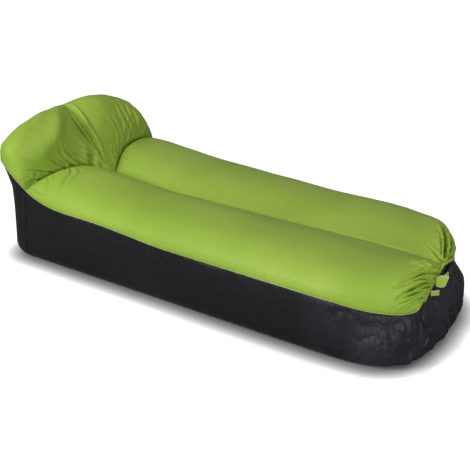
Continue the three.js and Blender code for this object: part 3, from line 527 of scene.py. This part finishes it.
def stands_out(rim):
    """Where the shell stands furthest out in plan below a point of its upper edge, and the way in."""
    x, y = rim[..., 0], rim[..., 1]
    half, foot_centre = seat_half + side_belly, mouth_y + foot_round
    straight = (y > foot_centre) & (y <= crease_y)
    at_foot = y <= foot_centre
    centre = np.where(at_foot, foot_centre, crease_y)
    length = np.where(at_foot, foot_round + foot_belly, pillow_back + head_belly)
    power, sign = np.where(at_foot, 3.0, 2.9), np.where(at_foot, -1.0, 1.0)
    dx, dy = np.abs(x), np.abs(y - centre)
    reach = 1 / np.maximum((dx / half) ** power + (dy / length) ** power, 1e-12) ** (1 / power)
    gx, gy = (dx * reach / half) ** (power - 1) / half, (dy * reach / length) ** (power - 1) / length
    size = np.hypot(gx, gy)
    out = np.stack([np.where(straight, -half, -dx * reach), np.where(straight, y, centre + sign * dy * reach)], -1)
    inward = np.stack([np.where(straight, 1, gx / size), np.where(straight, 0, -sign * gy / size)], -1)
    return out, inward


def wall(rim, straight_rows=40, round_rows=18):
    """The shell below its upper edge: down the belly, then round and in at the ground."""
    out, inward = stands_out(rim)
    t = np.linspace(0, 1, straight_rows + 1)[:, None]
    push = np.sin(t * math.pi / 2)[..., None] ** 0.6
    plan = between(rim[None, :, :2], out[None], push)
    upper = np.concatenate([plan, between(rim[None, :, 2:], bottom_round, t[..., None])], -1)
    a = np.linspace(0, math.pi / 2, round_rows + 1)[1:, None, None]
    plan = out[None] + inward[None] * bottom_round * (1 - np.cos(a))
    lower = np.concatenate([plan, np.broadcast_to(bottom_round * (1 - np.sin(a)), (*plan.shape[:2], 1))], -1)
    return np.concatenate([upper, lower])


def even_line(line, count):
    reach = arc(line, 0)
    goal = np.linspace(0, reach[-1], count)
    return np.stack([np.interp(goal, reach, line[:, k]) for k in range(3)], -1)


fine = (1 - np.cos(np.linspace(0, math.pi, 3000))) / 2
foot_rim = even_line(seat_top(1 - fine, 0 * fine), 86)
side_rim = even_line(side_seam(fine), 340)
head_rim = even_line(np.concatenate([pillow_top(0 * fine, fine), pillow_top(fine, 0 * fine + 1)[1:]]), 150)


def foot_crumple(p, side, u, v):
    """The foot of the shell hangs loose and crumpled, most of all round the near corner, less on the far side."""
    loose, far = ease(-0.50, -0.74, p[..., 1]), ease(0.02, 0.20, -side * p[..., 0] * (side > 0))
    big = billows(u, v * 0.75, 0.125, 150) - 0.5
    small = billows(u * 1.35, v * 0.62, 0.058, 159) - 0.55
    tiny = billows(u * 1.2, v * 0.7, 0.026, 171) - 0.55
    fine_part = (0.0088 * small + 0.0018 * tiny) * ease(0.01, 0.05, v) * (1 - 0.75 * far)
    return loose * (0.0120 * big * (1 - 0.5 * far) + fine_part)


def shell_relief(p, side, rim_reach, centre_first):
    """Relief of one wall piece; end walls are measured from the middle, so that both halves meet there."""
    u = arc(p[0:1], 1) * np.ones((p.shape[0], 1))
    v = arc(p, 0)
    run = side * (u if centre_first else rim_reach - u)
    h = 0.0026 * soft_noise(run, v * 0.5, 0.16, 120) + 0.0009 * soft_noise(run, v * 0.4, 0.045, 121)
    h += foot_crumple(p, side, run, v)
    pulled = 0.0014 + 0.0026 * ease(-0.35, -0.60, p[..., 1])
    h += pulled * gathers(np.abs(run) / rim_reach, rim_reach / 0.037, 122) * np.exp(-v / 0.050)
    h *= ease(0, 0.014, v) * ease(0.004, 0.030, p[..., 2])
    corners = (rim_reach - u,) if centre_first else (u, rim_reach - u) if rim_reach > 1.6 else (u,)
    for from_corner in corners:
        h *= ease(0, 0.020, from_corner)
    return h, np.stack([u, v], -1)


def shell_patch(rim, side):
    p = wall(rim)
    out = outward(p, tube_core)
    if rim is not side_rim:  # the halves of an end wall are pushed straight out where they meet
        out[:, 0 if rim is foot_rim else -1, 0] = 0
    h, threads = shell_relief(p, side, arc(rim[None], 1)[0, -1], rim is foot_rim)
    cloth = p + out * h[..., None]
    cloth[..., 2] = np.clip(cloth[..., 2], 0, None)
    cloth[..., 0] *= -side
    return lean(cloth), threads


def shell_piece(name, rim, node, extra=()):
    patches = [shell_patch(rim, side) for side in (-1, 1)]
    core = lean(np.array([0, 0, seam_height / 2]))
    cover(name, [*patches, *extra], core, black_polyester, node)


left_ground = np.concatenate([wall(rim)[-1] for rim in (foot_rim, side_rim, head_rim)])
ground = np.concatenate([left_ground, (left_ground * [-1, 1, 1])[::-1]])
rings = np.linspace(1, 0.02, 12)[:, None, None] * ground[None]
rings[..., 2] = 0
bottom = (lean(rings), rings[..., :2])
shell_piece("shell_sides_and_bottom", side_rim, "base_panel", [bottom])
shell_piece("shell_foot_end", foot_rim, "foot_end_panel")
shell_piece("shell_head_end", head_rim, "head_end_panel")


# Seams. Along both long sides and up the sides of the pillow the green and the black cloth are sewn
# edge to edge, turned out and topstitched, which leaves a narrow rib with green thread; the rib is painted
# pale, a painted highlight along the seam. The valley has a green rib, and a black one runs down each corner of the
# shell.
def closed_tube(name, p, run, around, material, body):
    """A tube from rings of points, closed at both ends, its threads measured along and around it."""
    n, k = p.shape[:2]
    index = np.arange(n * k).reshape(n, k)
    turn = np.roll(index, -1, axis=1)
    quads = np.stack([index[:-1], turn[:-1], turn[1:], index[1:]], -1).reshape(-1, 4)
    faces = quads.tolist() + [index[0][::-1].tolist(), index[-1].tolist()]
    threads = np.stack([np.repeat(run, k), np.tile(around, n)], -1)
    obj = mesh_object(name, p.reshape(-1, 3).tolist(), faces, threads, flat_faces=2)
    work = bmesh.new()
    work.from_mesh(obj.data)
    bmesh.ops.recalc_face_normals(work, faces=work.faces)
    work.to_mesh(obj.data)
    work.free()
    obj.data.materials.append(material)
    if body:
        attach(obj, body)
    return obj


def sweep(name, path, section, material, body, size=None):
    """A tube with the given section (across, up) drawn along a path; size scales the section along it."""
    path = np.asarray(path, float)
    ahead = np.gradient(path, axis=0)
    ahead /= np.linalg.norm(ahead, axis=1, keepdims=True)
    across = np.cross(ahead, [0, 0, 1] if np.abs(ahead[:, 2]).max() < 0.9 else [0.6, 0.8, 0])
    across /= np.linalg.norm(across, axis=1, keepdims=True)
    above = np.cross(across, ahead)
    scale = np.ones(len(path)) if size is None else size
    section = np.asarray(section, float)
    wide, high = across[:, None] * section[None, :, :1], above[:, None] * section[None, :, 1:]
    p = path[:, None] + scale[:, None, None] * (wide + high)
    return closed_tube(name, p, arc(path, 0), arc(section, 0), material, body)


def ring(radius, flat=1.0):
    a = np.linspace(0, 2 * math.pi, 10, endpoint=False)
    return np.stack([radius * flat * np.cos(a), radius * np.sin(a)], -1)


# Bonded polyester thread, twisted, a little lighter than the cloth: short round stitches that catch light.
def thread_finish(name, main):
    m = shade(name)
    run = add(m, "UVMap", uv_map="threads").outputs["UV"]
    # the stitches are too small for a thread map of their own: these bands only break up the shine
    twist = add(m, "TexWave", {"Vector": run, "Scale": 420.0, "Distortion": 0.4}, wave_type="BANDS",
                bands_direction="DIAGONAL").outputs["Fac"]
    tone = add(m, "MapRange", {"Value": twist, "To Min": 0.75, "To Max": 1.0})
    dyed = add(m, "Mix", {0: tone, 6: (0.0, 0.0, 0.0, 1.0), 7: colour(main)}, data_type="RGBA").outputs[2]
    relief = add(m, "Bump", {"Height": twist, "Strength": 0.5, "Distance": 0.0002})
    skin = add(m, "BsdfPrincipled", {"Base Color": dyed, "Roughness": 0.5, "Normal": relief,
                                     "Specular IOR Level": 0.35})
    add(m, "OutputMaterial", {"Surface": skin})
    return m


# the seam rib's pale colours are a painted highlight along the seam
seam_rib_painted_highlight = ripstop("green seam rib painted pale as a highlight", "#8fa554", "#a8b87a", 0.6, 0.2, 0.6, 0.4)
green_thread = thread_finish("green bonded thread", "#a5c04e")
stitch_pitch, thread_radius = 0.0052, 0.0005


def stitches(name, line, out):
    """A row of short stitches along a line, each one bowed up from the cloth it goes into."""
    run = arc(line, 0)
    starts = np.arange(stitch_pitch, run[-1] - stitch_pitch, stitch_pitch)
    verts, faces = [], []
    at = lambda r, data: np.stack([np.interp(r, run, data[:, k]) for k in range(3)], -1)
    for first in starts:
        r = first + np.linspace(0, 0.68 * stitch_pitch, 4)
        centre, up = at(r, line), at(r, out)
        centre = centre + up * (thread_radius * np.array([-0.6, 0.7, 0.7, -0.6]))[:, None]
        ahead = centre[-1] - centre[0]
        ahead /= np.linalg.norm(ahead)
        side = np.cross(ahead, up)
        base = len(verts)
        for k in range(4):
            wide = thread_radius * (0.55 if k in (0, 3) else 1.0)
            for a in (0, 72, 144, 216, 288):
                c, d = math.cos(math.radians(a)), math.sin(math.radians(a))
                verts.append((centre[k] + wide * (side[k] * c + up[k] * d)).tolist())
        for k in range(3):
            for a in range(5):
                b = (a + 1) % 5
                faces.append((base + 5 * k + a, base + 5 * k + b, base + 5 * k + 5 + b, base + 5 * k + 5 + a))
        faces += [tuple(base + a for a in range(5)), tuple(base + 15 + a for a in (4, 3, 2, 1, 0))]
    obj = mesh_object(name, verts, faces)
    obj.data.materials.append(green_thread)
    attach(obj, "shell")


valley_rib = lean(even_line(valley_seam(0.03 + 0.97 * fine), 420) + [0, 0, 0.0012])
sweep("valley_seam_rib", valley_rib, ring(0.0022, 1.2), green_nylon, "shell")
seam_line = np.concatenate([even_line(side_seam(fine), 420), even_line(pillow_top(0 * fine, fine), 130)[1:]])
seam_out = np.stack([-np.ones(len(seam_line)), np.zeros(len(seam_line)), 0.35 * np.ones(len(seam_line))], -1)
plan_out = np.gradient(seam_line[:, :2], axis=0)
seam_out[:, 0], seam_out[:, 1] = -plan_out[:, 1], plan_out[:, 0]
seam_out[:, :2] /= np.linalg.norm(seam_out[:, :2], axis=1, keepdims=True)
seam_out /= np.linalg.norm(seam_out, axis=1, keepdims=True)
for side, name in ((-1, "left"), (1, "right")):
    flip = np.array([-side, 1, 1])
    for end, rim in (("foot", foot_rim[-1:]), ("head", head_rim[:1])):
        column = lean(wall(rim, 60, 24)[:-6, 0] * flip)
        sweep(f"{name}_{end}_shell_seam", column, ring(0.0015), black_polyester, "shell")
    line = lean((seam_line + seam_out * 0.0012) * flip)
    sweep(f"{name}_seam_rib", line, ring(0.0019, 0.9), seam_rib_painted_highlight, "shell")
    row = lean((seam_line + seam_out * 0.0012 + np.array([0, 0, 0.0060])) * flip)
    way = seam_out * flip
    stitches(f"{name}_seam_stitches", row + way * 0.0022, way)


# Rolled mouth. The open end of both tubes is rolled up almost three turns round two stiff strips, and
# lies along the foot as a soft green band above the buckle.
roll_standoff, roll_turns = 0.0093, 2.7


def mouth_line(x):
    x = np.asarray(x, float)
    line = seat_top(1 - np.abs(x) / mouth_half, 0 * x)
    return place(x, line[..., 1] - roll_standoff, line[..., 2])


turns = np.linspace(0, 2 * math.pi * roll_turns, 92)
spiral = np.interp(turns, [turns[0], turns[-1]], [0.0031, 0.0078])
leaf = 0.0008
coil = np.concatenate([np.stack([(spiral + leaf) * np.cos(turns), (spiral + leaf) * np.sin(turns)], -1),
                       np.stack([(spiral - leaf) * np.cos(turns), (spiral - leaf) * np.sin(turns)], -1)[::-1]])
roll_x = np.linspace(0.048 - mouth_half, mouth_half - 0.082, 260)
roll_path = lean(mouth_line(roll_x))
slack = 1 + 0.05 * soft_noise(roll_x, 0 * roll_x, 0.012, 7) + 0.04 * soft_noise(roll_x, 0 * roll_x, 0.005, 8)
band_green = ripstop("green nylon rolled band", "#8fb436", "#9fc248", 0.5, 0.28, 0.6, 0.5)
band = sweep("rolled_mouth_band", roll_path, coil * [0.92, 1.0], band_green, "shell", size=slack)
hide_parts("mouth_roll")


# Pieces that stay out of sight inside: the cloth wall sewn between the tubes, a film bladder in each
# tube that holds the air, and the two strips that stiffen the mouth. They keep the solids' own form.
def dressed(node, name, material, body="shell", round_edge=None, levels=0):
    """A piece with a solid's own form, its edges eased or its faces made finer."""
    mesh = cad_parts[node].data.copy()
    obj = put_in_scene(name, mesh)
    work = bmesh.new()
    work.from_mesh(mesh)
    bmesh.ops.remove_doubles(work, verts=work.verts, dist=1e-5)
    if round_edge:
        bmesh.ops.dissolve_limit(work, angle_limit=math.radians(4), verts=work.verts, edges=work.edges)
    work.to_mesh(mesh)
    work.free()
    mesh.materials.clear()
    mesh.materials.append(material)
    if round_edge:
        edge = obj.modifiers.new("eased edges", "BEVEL")
        edge.width, edge.segments, edge.use_clamp_overlap = round_edge, 3, True
        edge.limit_method, edge.angle_limit = "ANGLE", math.radians(32)
    if levels:
        finer = obj.modifiers.new("finer", "SUBSURF")
        finer.levels = finer.render_levels = levels
    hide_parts(node)
    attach(obj, body)
    return obj


# Polyethylene film, blown and heat sealed: clear grey and glossy, with crinkles about 18 mm across.
film = shade("grey polyethylene film")
spot = add(film, "TexCoord").outputs["Object"]
crinkles = add(film, "TexNoise", {"Vector": spot, "Scale": 55.0, "Detail": 6.0, "Roughness": 0.7}).outputs["Fac"]
milky = add(film, "Mix", {0: crinkles, 6: colour("#a9afb4"), 7: colour("#c3c8cc")}, data_type="RGBA").outputs[2]
creased = add(film, "Bump", {"Height": crinkles, "Strength": 0.5, "Distance": 0.002})
body = add(film, "BsdfPrincipled", {"Base Color": milky, "Roughness": 0.25, "Normal": creased, "IOR": 1.51})
add(film, "OutputMaterial", {"Surface": body})
for name in ("left", "right"):
    bag = dressed(f"{name}_air_bladder", f"{name}_film_bladder", film, levels=1)
divider = dressed("centre_divider", "tube_divider_cloth", black_polyester, levels=1)


# Polypropylene strip, extruded: off-white and waxy, faintly mottled every 4 mm.
strip_plastic = shade("white extruded polypropylene")
spot = add(strip_plastic, "TexCoord").outputs["Object"]
mottle = add(strip_plastic, "TexNoise", {"Vector": spot, "Scale": 240.0, "Detail": 2.0}).outputs["Fac"]
waxy = add(strip_plastic, "Mix", {0: mottle, 6: colour("#d2d4d0"), 7: colour("#e0e2de")},
           data_type="RGBA").outputs[2]
uneven = add(strip_plastic, "Bump", {"Height": mottle, "Strength": 0.3, "Distance": 0.0003})
body = add(strip_plastic, "BsdfPrincipled", {"Base Color": waxy, "Roughness": 0.42, "Normal": uneven, "IOR": 1.49})
add(strip_plastic, "OutputMaterial", {"Surface": body})
for name in ("left", "right"):
    dressed(f"{name}_mouth_strip", f"{name}_stiffening_strip", strip_plastic, round_edge=0.0003)


# Side release buckle for 20 mm webbing, moulded in black acetal: a socket with two windows, and a plug
# whose two prongs snap into them. It hangs across the foot under the pinch.
# The spark-eroded grain is drawn at 0.7 mm, or it would not show; rub marks are about 11 mm across.
acetal = shade("black moulded acetal")
spot = add(acetal, "TexCoord").outputs["Object"]
grain = add(acetal, "TexNoise", {"Vector": spot, "Scale": 1400.0, "Detail": 2.0}).outputs["Fac"]
marks = add(acetal, "TexNoise", {"Vector": spot, "Scale": 90.0, "Detail": 4.0}).outputs["Fac"]
rubbed = add(acetal, "Mix", {0: marks, 6: colour("#121214"), 7: colour("#1e1e20")}, data_type="RGBA").outputs[2]
eroded = add(acetal, "Bump", {"Height": grain, "Strength": 0.25, "Distance": 0.0001})
dull = add(acetal, "MapRange", {"Value": marks, "To Min": 0.30, "To Max": 0.48})
body = add(acetal, "BsdfPrincipled", {"Base Color": rubbed, "Roughness": dull, "Normal": eroded, "IOR": 1.48})
add(acetal, "OutputMaterial", {"Surface": body})
dressed("buckle_socket", "buckle_socket_moulding", acetal, "shell", 0.0005)
dressed("buckle_plug", "buckle_plug_moulding", acetal, "plug", 0.0005)
dressed("upper_buckle_prong", "upper_prong_moulding", acetal, "upper_prong", 0.0004)
dressed("lower_buckle_prong", "lower_prong_moulding", acetal, "lower_prong", 0.0004)


# Closure straps. Each is sewn to the roll and turned round a bar of the buckle: the one to the socket
# is green, and the one to the plug is black webbing. They are flat 20 mm tape, 1.55 mm thick.
tape_width, tape_thickness = 0.020, 0.00155


def webbing(name, main, worn, edge_highlight_tone, wide):
    m = shade(name)
    threads = add(m, "UVMap", uv_map="threads").outputs["UV"]
    # real yarns lie about 1.1 mm apart; they are drawn every 2.2 mm along the tape and 2.6 mm across it
    yarns = add(m, "TexWave", {"Vector": threads, "Scale": 145.0}, wave_type="BANDS",
                bands_direction="X").outputs["Fac"]
    rows = add(m, "TexWave", {"Vector": threads, "Scale": 120.0, "Distortion": 1.2, "Detail Scale": 40.0},
               wave_type="BANDS", bands_direction="Y").outputs["Fac"]
    woven = add(m, "Math", {0: yarns, 1: rows}, operation="MULTIPLY")
    fuzz = add(m, "TexNoise", {"Vector": threads, "Scale": 260.0, "Detail": 3.0}).outputs["Fac"]
    dyed = add(m, "Mix", {0: fuzz, 6: colour(main), 7: colour(worn)}, data_type="RGBA").outputs[2]
    split = add(m, "SeparateXYZ", {0: threads}).outputs["Y"]
    off_middle = add(m, "Math", {0: split, 1: wide / 2}, operation="SUBTRACT")
    off_middle = add(m, "Math", {0: off_middle}, operation="ABSOLUTE")
    # the long edges are painted paler: a painted highlight on their rounded edges
    painted_edge_highlight = add(m, "MapRange", {"Value": off_middle, "From Min": wide / 2 - 0.0032,
                                  "From Max": wide / 2 - 0.0016})
    dyed = add(m, "Mix", {0: painted_edge_highlight, 6: dyed, 7: colour(edge_highlight_tone)}, data_type="RGBA").outputs[2]
    relief = add(m, "Bump", {"Height": woven, "Strength": 0.7, "Distance": 0.0004})
    relief = add(m, "Bump", {"Height": fuzz, "Strength": 0.3, "Distance": 0.0004, "Normal": relief})
    skin = add(m, "BsdfPrincipled", {"Base Color": dyed, "Roughness": 0.62, "Normal": relief,
                                     "Specular IOR Level": 0.3, "Sheen Weight": 0.1})
    add(m, "OutputMaterial", {"Surface": skin})
    return m


def tape(name, path, wide, thick, where, material, body, shrink=0, crowned=0):
    """Flat tape standing on edge: its centre line in plan, its width up Z, its long edges rounded."""
    reach = arc(path, 0)
    goal = np.linspace(0, reach[-1], max(int(reach[-1] / 0.0008), 12))
    path = np.stack([np.interp(goal, reach, path[:, k]) for k in range(2)], -1)
    ahead = np.gradient(path, axis=0)
    ahead /= np.linalg.norm(ahead, axis=1, keepdims=True)
    off = np.stack([ahead[:, 1], -ahead[:, 0]], -1)
    t, w = thick / 2, wide / 2
    rise = np.linspace(-w + t, w - t, 13)
    turn = np.linspace(-math.pi / 2, math.pi / 2, 7)[1:-1]
    low = [(t * math.sin(a), -w + t - t * math.cos(a)) for a in turn]
    high = [(-t * math.sin(a), w - t + t * math.cos(a)) for a in turn]
    section = np.array([(-t, z) for z in rise[::-1]] + low + [(t, z) for z in rise] + high)
    x = path[:, None, 0] + off[:, None, 0] * section[None, :, 0]
    y = path[:, None, 1] + off[:, None, 1] * section[None, :, 0]
    z = np.broadcast_to(section[None, :, 1], x.shape)
    if shrink:
        z = z * (1 - crowned * (2 * x / path[:, 0].max() - 1) ** 2)
        x = x * (1 - shrink * (0.5 - z / wide))
    p = np.stack([x, y, z], -1) @ np.array(where[0]).T + where[1]
    return closed_tube(name, p, goal, section[:, 1] + w, material, body)


def turned(angle, spot):
    c, d = math.cos(angle), math.sin(angle)
    return np.array([[c, -d, 0], [d, c, 0], [0, 0, 1]]), np.asarray(spot, float)


buckle_angle = math.atan(foot_slant)
buckle_place = turned(buckle_angle, lean(np.array([0.026, mouth_y - 0.031, pinch[2] - 0.031])))
roll_radius, rest, bar_turn = 0.007, 0.0003, 0.0032
socket_bar, plug_bar, strap_root = -0.0275, 0.0120, 0.086


def strap_path(bar_x, root_x):
    """A strap's centre line in the buckle's plane, the end of its lap, and its root at the roll."""
    root = (lean(mouth_line(root_x)) - buckle_place[1]) @ buckle_place[0]
    out = math.copysign(1, root[0] - bar_x)
    lap = bar_x + out * 0.016
    a = np.linspace(0.25, 2 * math.pi - 0.25, 30)
    loop = np.stack([bar_x + out * bar_turn * np.cos(a), bar_turn * np.sin(a)], -1)
    bend = np.linspace(0, 1, 12)[1:, None]
    sewn = np.array([root[0], root[1] - roll_radius - rest - 0.0008])
    run = np.array([lap, -0.0008]) * (1 - bend) + sewn * bend
    run[:, 1] -= 0.0012 * np.sin(bend[:, 0] * math.pi)
    return np.concatenate([[[lap, 0.0008]], loop, [[lap, -0.0008]], run]), lap, root


green_tape = webbing("green woven polyester tape", "#84a838", "#97ba4c", "#a9bf78", tape_width)
black_tape = webbing("black woven polyester tape", "#1a1a1d", "#26262a", "#232327", tape_width)
path, _, _ = strap_path(socket_bar, -strap_root)
strap = tape("left_strap_tape", path, tape_width, tape_thickness, buckle_place, green_tape, "shell")
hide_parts("left_closure_strap")
path, lap, root = strap_path(plug_bar, strap_root)
strap = tape("right_strap_tape", path, tape_width, tape_thickness, buckle_place, black_tape, None)
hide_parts("right_closure_strap")
end = buckle_place[0] @ np.array([root[0], root[1], 0]) + buckle_place[1]
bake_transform(strap)


# Pull tab and strap tail. A folded loop of the green tape, cut on a slant, its edges painted pale as a highlight,
# is sewn to the roll to open it; under it the free end of the closure strap sticks out, hemmed.
tab_width, tab_length, tail_length, hem_turn = 0.044, 0.0370, 0.0301, 0.00085


def against_roll(x, radius, rise):
    """The place at the roll's front where a tape with the given root is sewn on."""
    forward = np.array([math.sin(buckle_angle), -math.cos(buckle_angle), 0])
    return lean(mouth_line(x)) + forward * (roll_radius + rest + radius) + [0, 0, rise]


tab_tape = webbing("green nylon pull tab", "#9cc440", "#afd356", "#c9d8a6", tab_width)
a = np.linspace(math.pi / 2, -math.pi / 2, 24)
leg = np.linspace(0, 1, 14)[:-1, None]
up_leg = np.concatenate([tab_length * leg, 0.0009 + 0.0051 * leg ** 0.7], -1)
end_arc = np.stack([tab_length + 0.0121 * np.cos(a), 0.0060 * np.sin(a)], -1)
tab_path = np.concatenate([up_leg, end_arc, (up_leg * [1, -1])[::-1]])
tab_place = turned(math.radians(-50), against_roll(-0.104, 0.0018, 0.002))
tab = tape("pull_tab_loop", tab_path, tab_width, 0.0017, tab_place, tab_tape, "tab",
           shrink=0.3, crowned=0.24)
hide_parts("pull_tab")

tail_tape = webbing("green strap tail", "#96ac4a", "#a8b95e", "#b9c68c", tape_width)
a = np.linspace(-math.pi / 2, math.pi / 2, 10)
hem = np.stack([tail_length + hem_turn * np.cos(a), hem_turn + hem_turn * np.sin(a)], -1)
straight = np.stack([np.linspace(0, tail_length, 20)[:-1], np.zeros(19)], -1)
tail_path = np.concatenate([straight, hem, [[0.0220, 2 * hem_turn]]])
tail_place = turned(math.radians(-44), against_roll(-0.150, 0.0009, -0.009))
tail = tape("strap_tail_end", tail_path, tape_width, 0.0016, tail_place, tail_tape, "tail")
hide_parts("strap_tail")


# Floor and light. A plain white studio sweep under soft lamps, glowing white to the camera with a painted contact
# shadow round the cover; the sky behind is white as well.
paper = shade("white studio paper")
on_view = add(paper, "LightPath").outputs["Is Camera Ray"]
# the floor's white glow is dimmed by ambient occlusion near the cover: a painted contact shadow
painted_contact_shadow = add(paper, "AmbientOcclusion", {"Distance": 0.078}, samples=12).outputs["AO"]
painted_contact_shadow = add(paper, "Math", {0: painted_contact_shadow, 1: 2.8}, operation="POWER")
on_view = add(paper, "Math", {0: on_view, 1: painted_contact_shadow}, operation="MULTIPLY")
matt = add(paper, "BsdfDiffuse", {"Color": (0.30, 0.30, 0.30, 1.0)})
glow = add(paper, "Emission", {"Strength": on_view})
both = add(paper, "AddShader", {0: matt, 1: glow})
add(paper, "OutputMaterial", {"Surface": both})
floor_mesh = bpy.data.meshes.new("floor")
floor_mesh.from_pydata([(-14, -14, 0), (14, -14, 0), (14, 14, 0), (-14, 14, 0)], [], [(0, 1, 2, 3)])
floor_mesh.materials.append(paper)
put_in_scene("floor", floor_mesh)

world = bpy.data.worlds.new("studio")
bpy.context.scene.world = world
world.use_nodes = True
world.node_tree.nodes.clear()
seen = add(world, "LightPath").outputs["Is Camera Ray"]
level = add(world, "MapRange", {"Value": seen, "To Min": 0.33, "To Max": 1.0})
air = add(world, "Background", {"Color": (1.0, 1.0, 1.0, 1.0), "Strength": level})
add(world, "OutputWorld", {"Surface": air})

for name, spot, size, power in (("key softbox", (-2.9, 0.9, 1.8), 1.3, 78),
                                ("top softbox", (0.2, 0.8, 3.4), 2.2, 12),
                                ("foot softbox", (-1.5, -2.9, 0.9), 1.2, 34)):
    lamp = bpy.data.lights.new(name, "AREA")
    lamp.shape, lamp.size, lamp.energy = "DISK", size, power
    holder = put_in_scene(name, lamp)
    holder.location = spot
    holder.rotation_euler = (Vector((0, 0, 0.2)) - Vector(spot)).to_track_quat("-Z", "Y").to_euler()

camera = put_in_scene("camera", bpy.data.cameras.new("camera"))
camera.data.lens, camera.data.sensor_width = 106.49, 36
camera.location = (-4.0953, -3.0649, 2.3285)
camera.rotation_euler = (Vector((-0.1684, -0.0904, 0.265)) - camera.location).to_track_quat("-Z", "Y").to_euler()
bpy.context.scene.camera = camera
bpy.context.scene.view_settings.view_transform = "Standard"
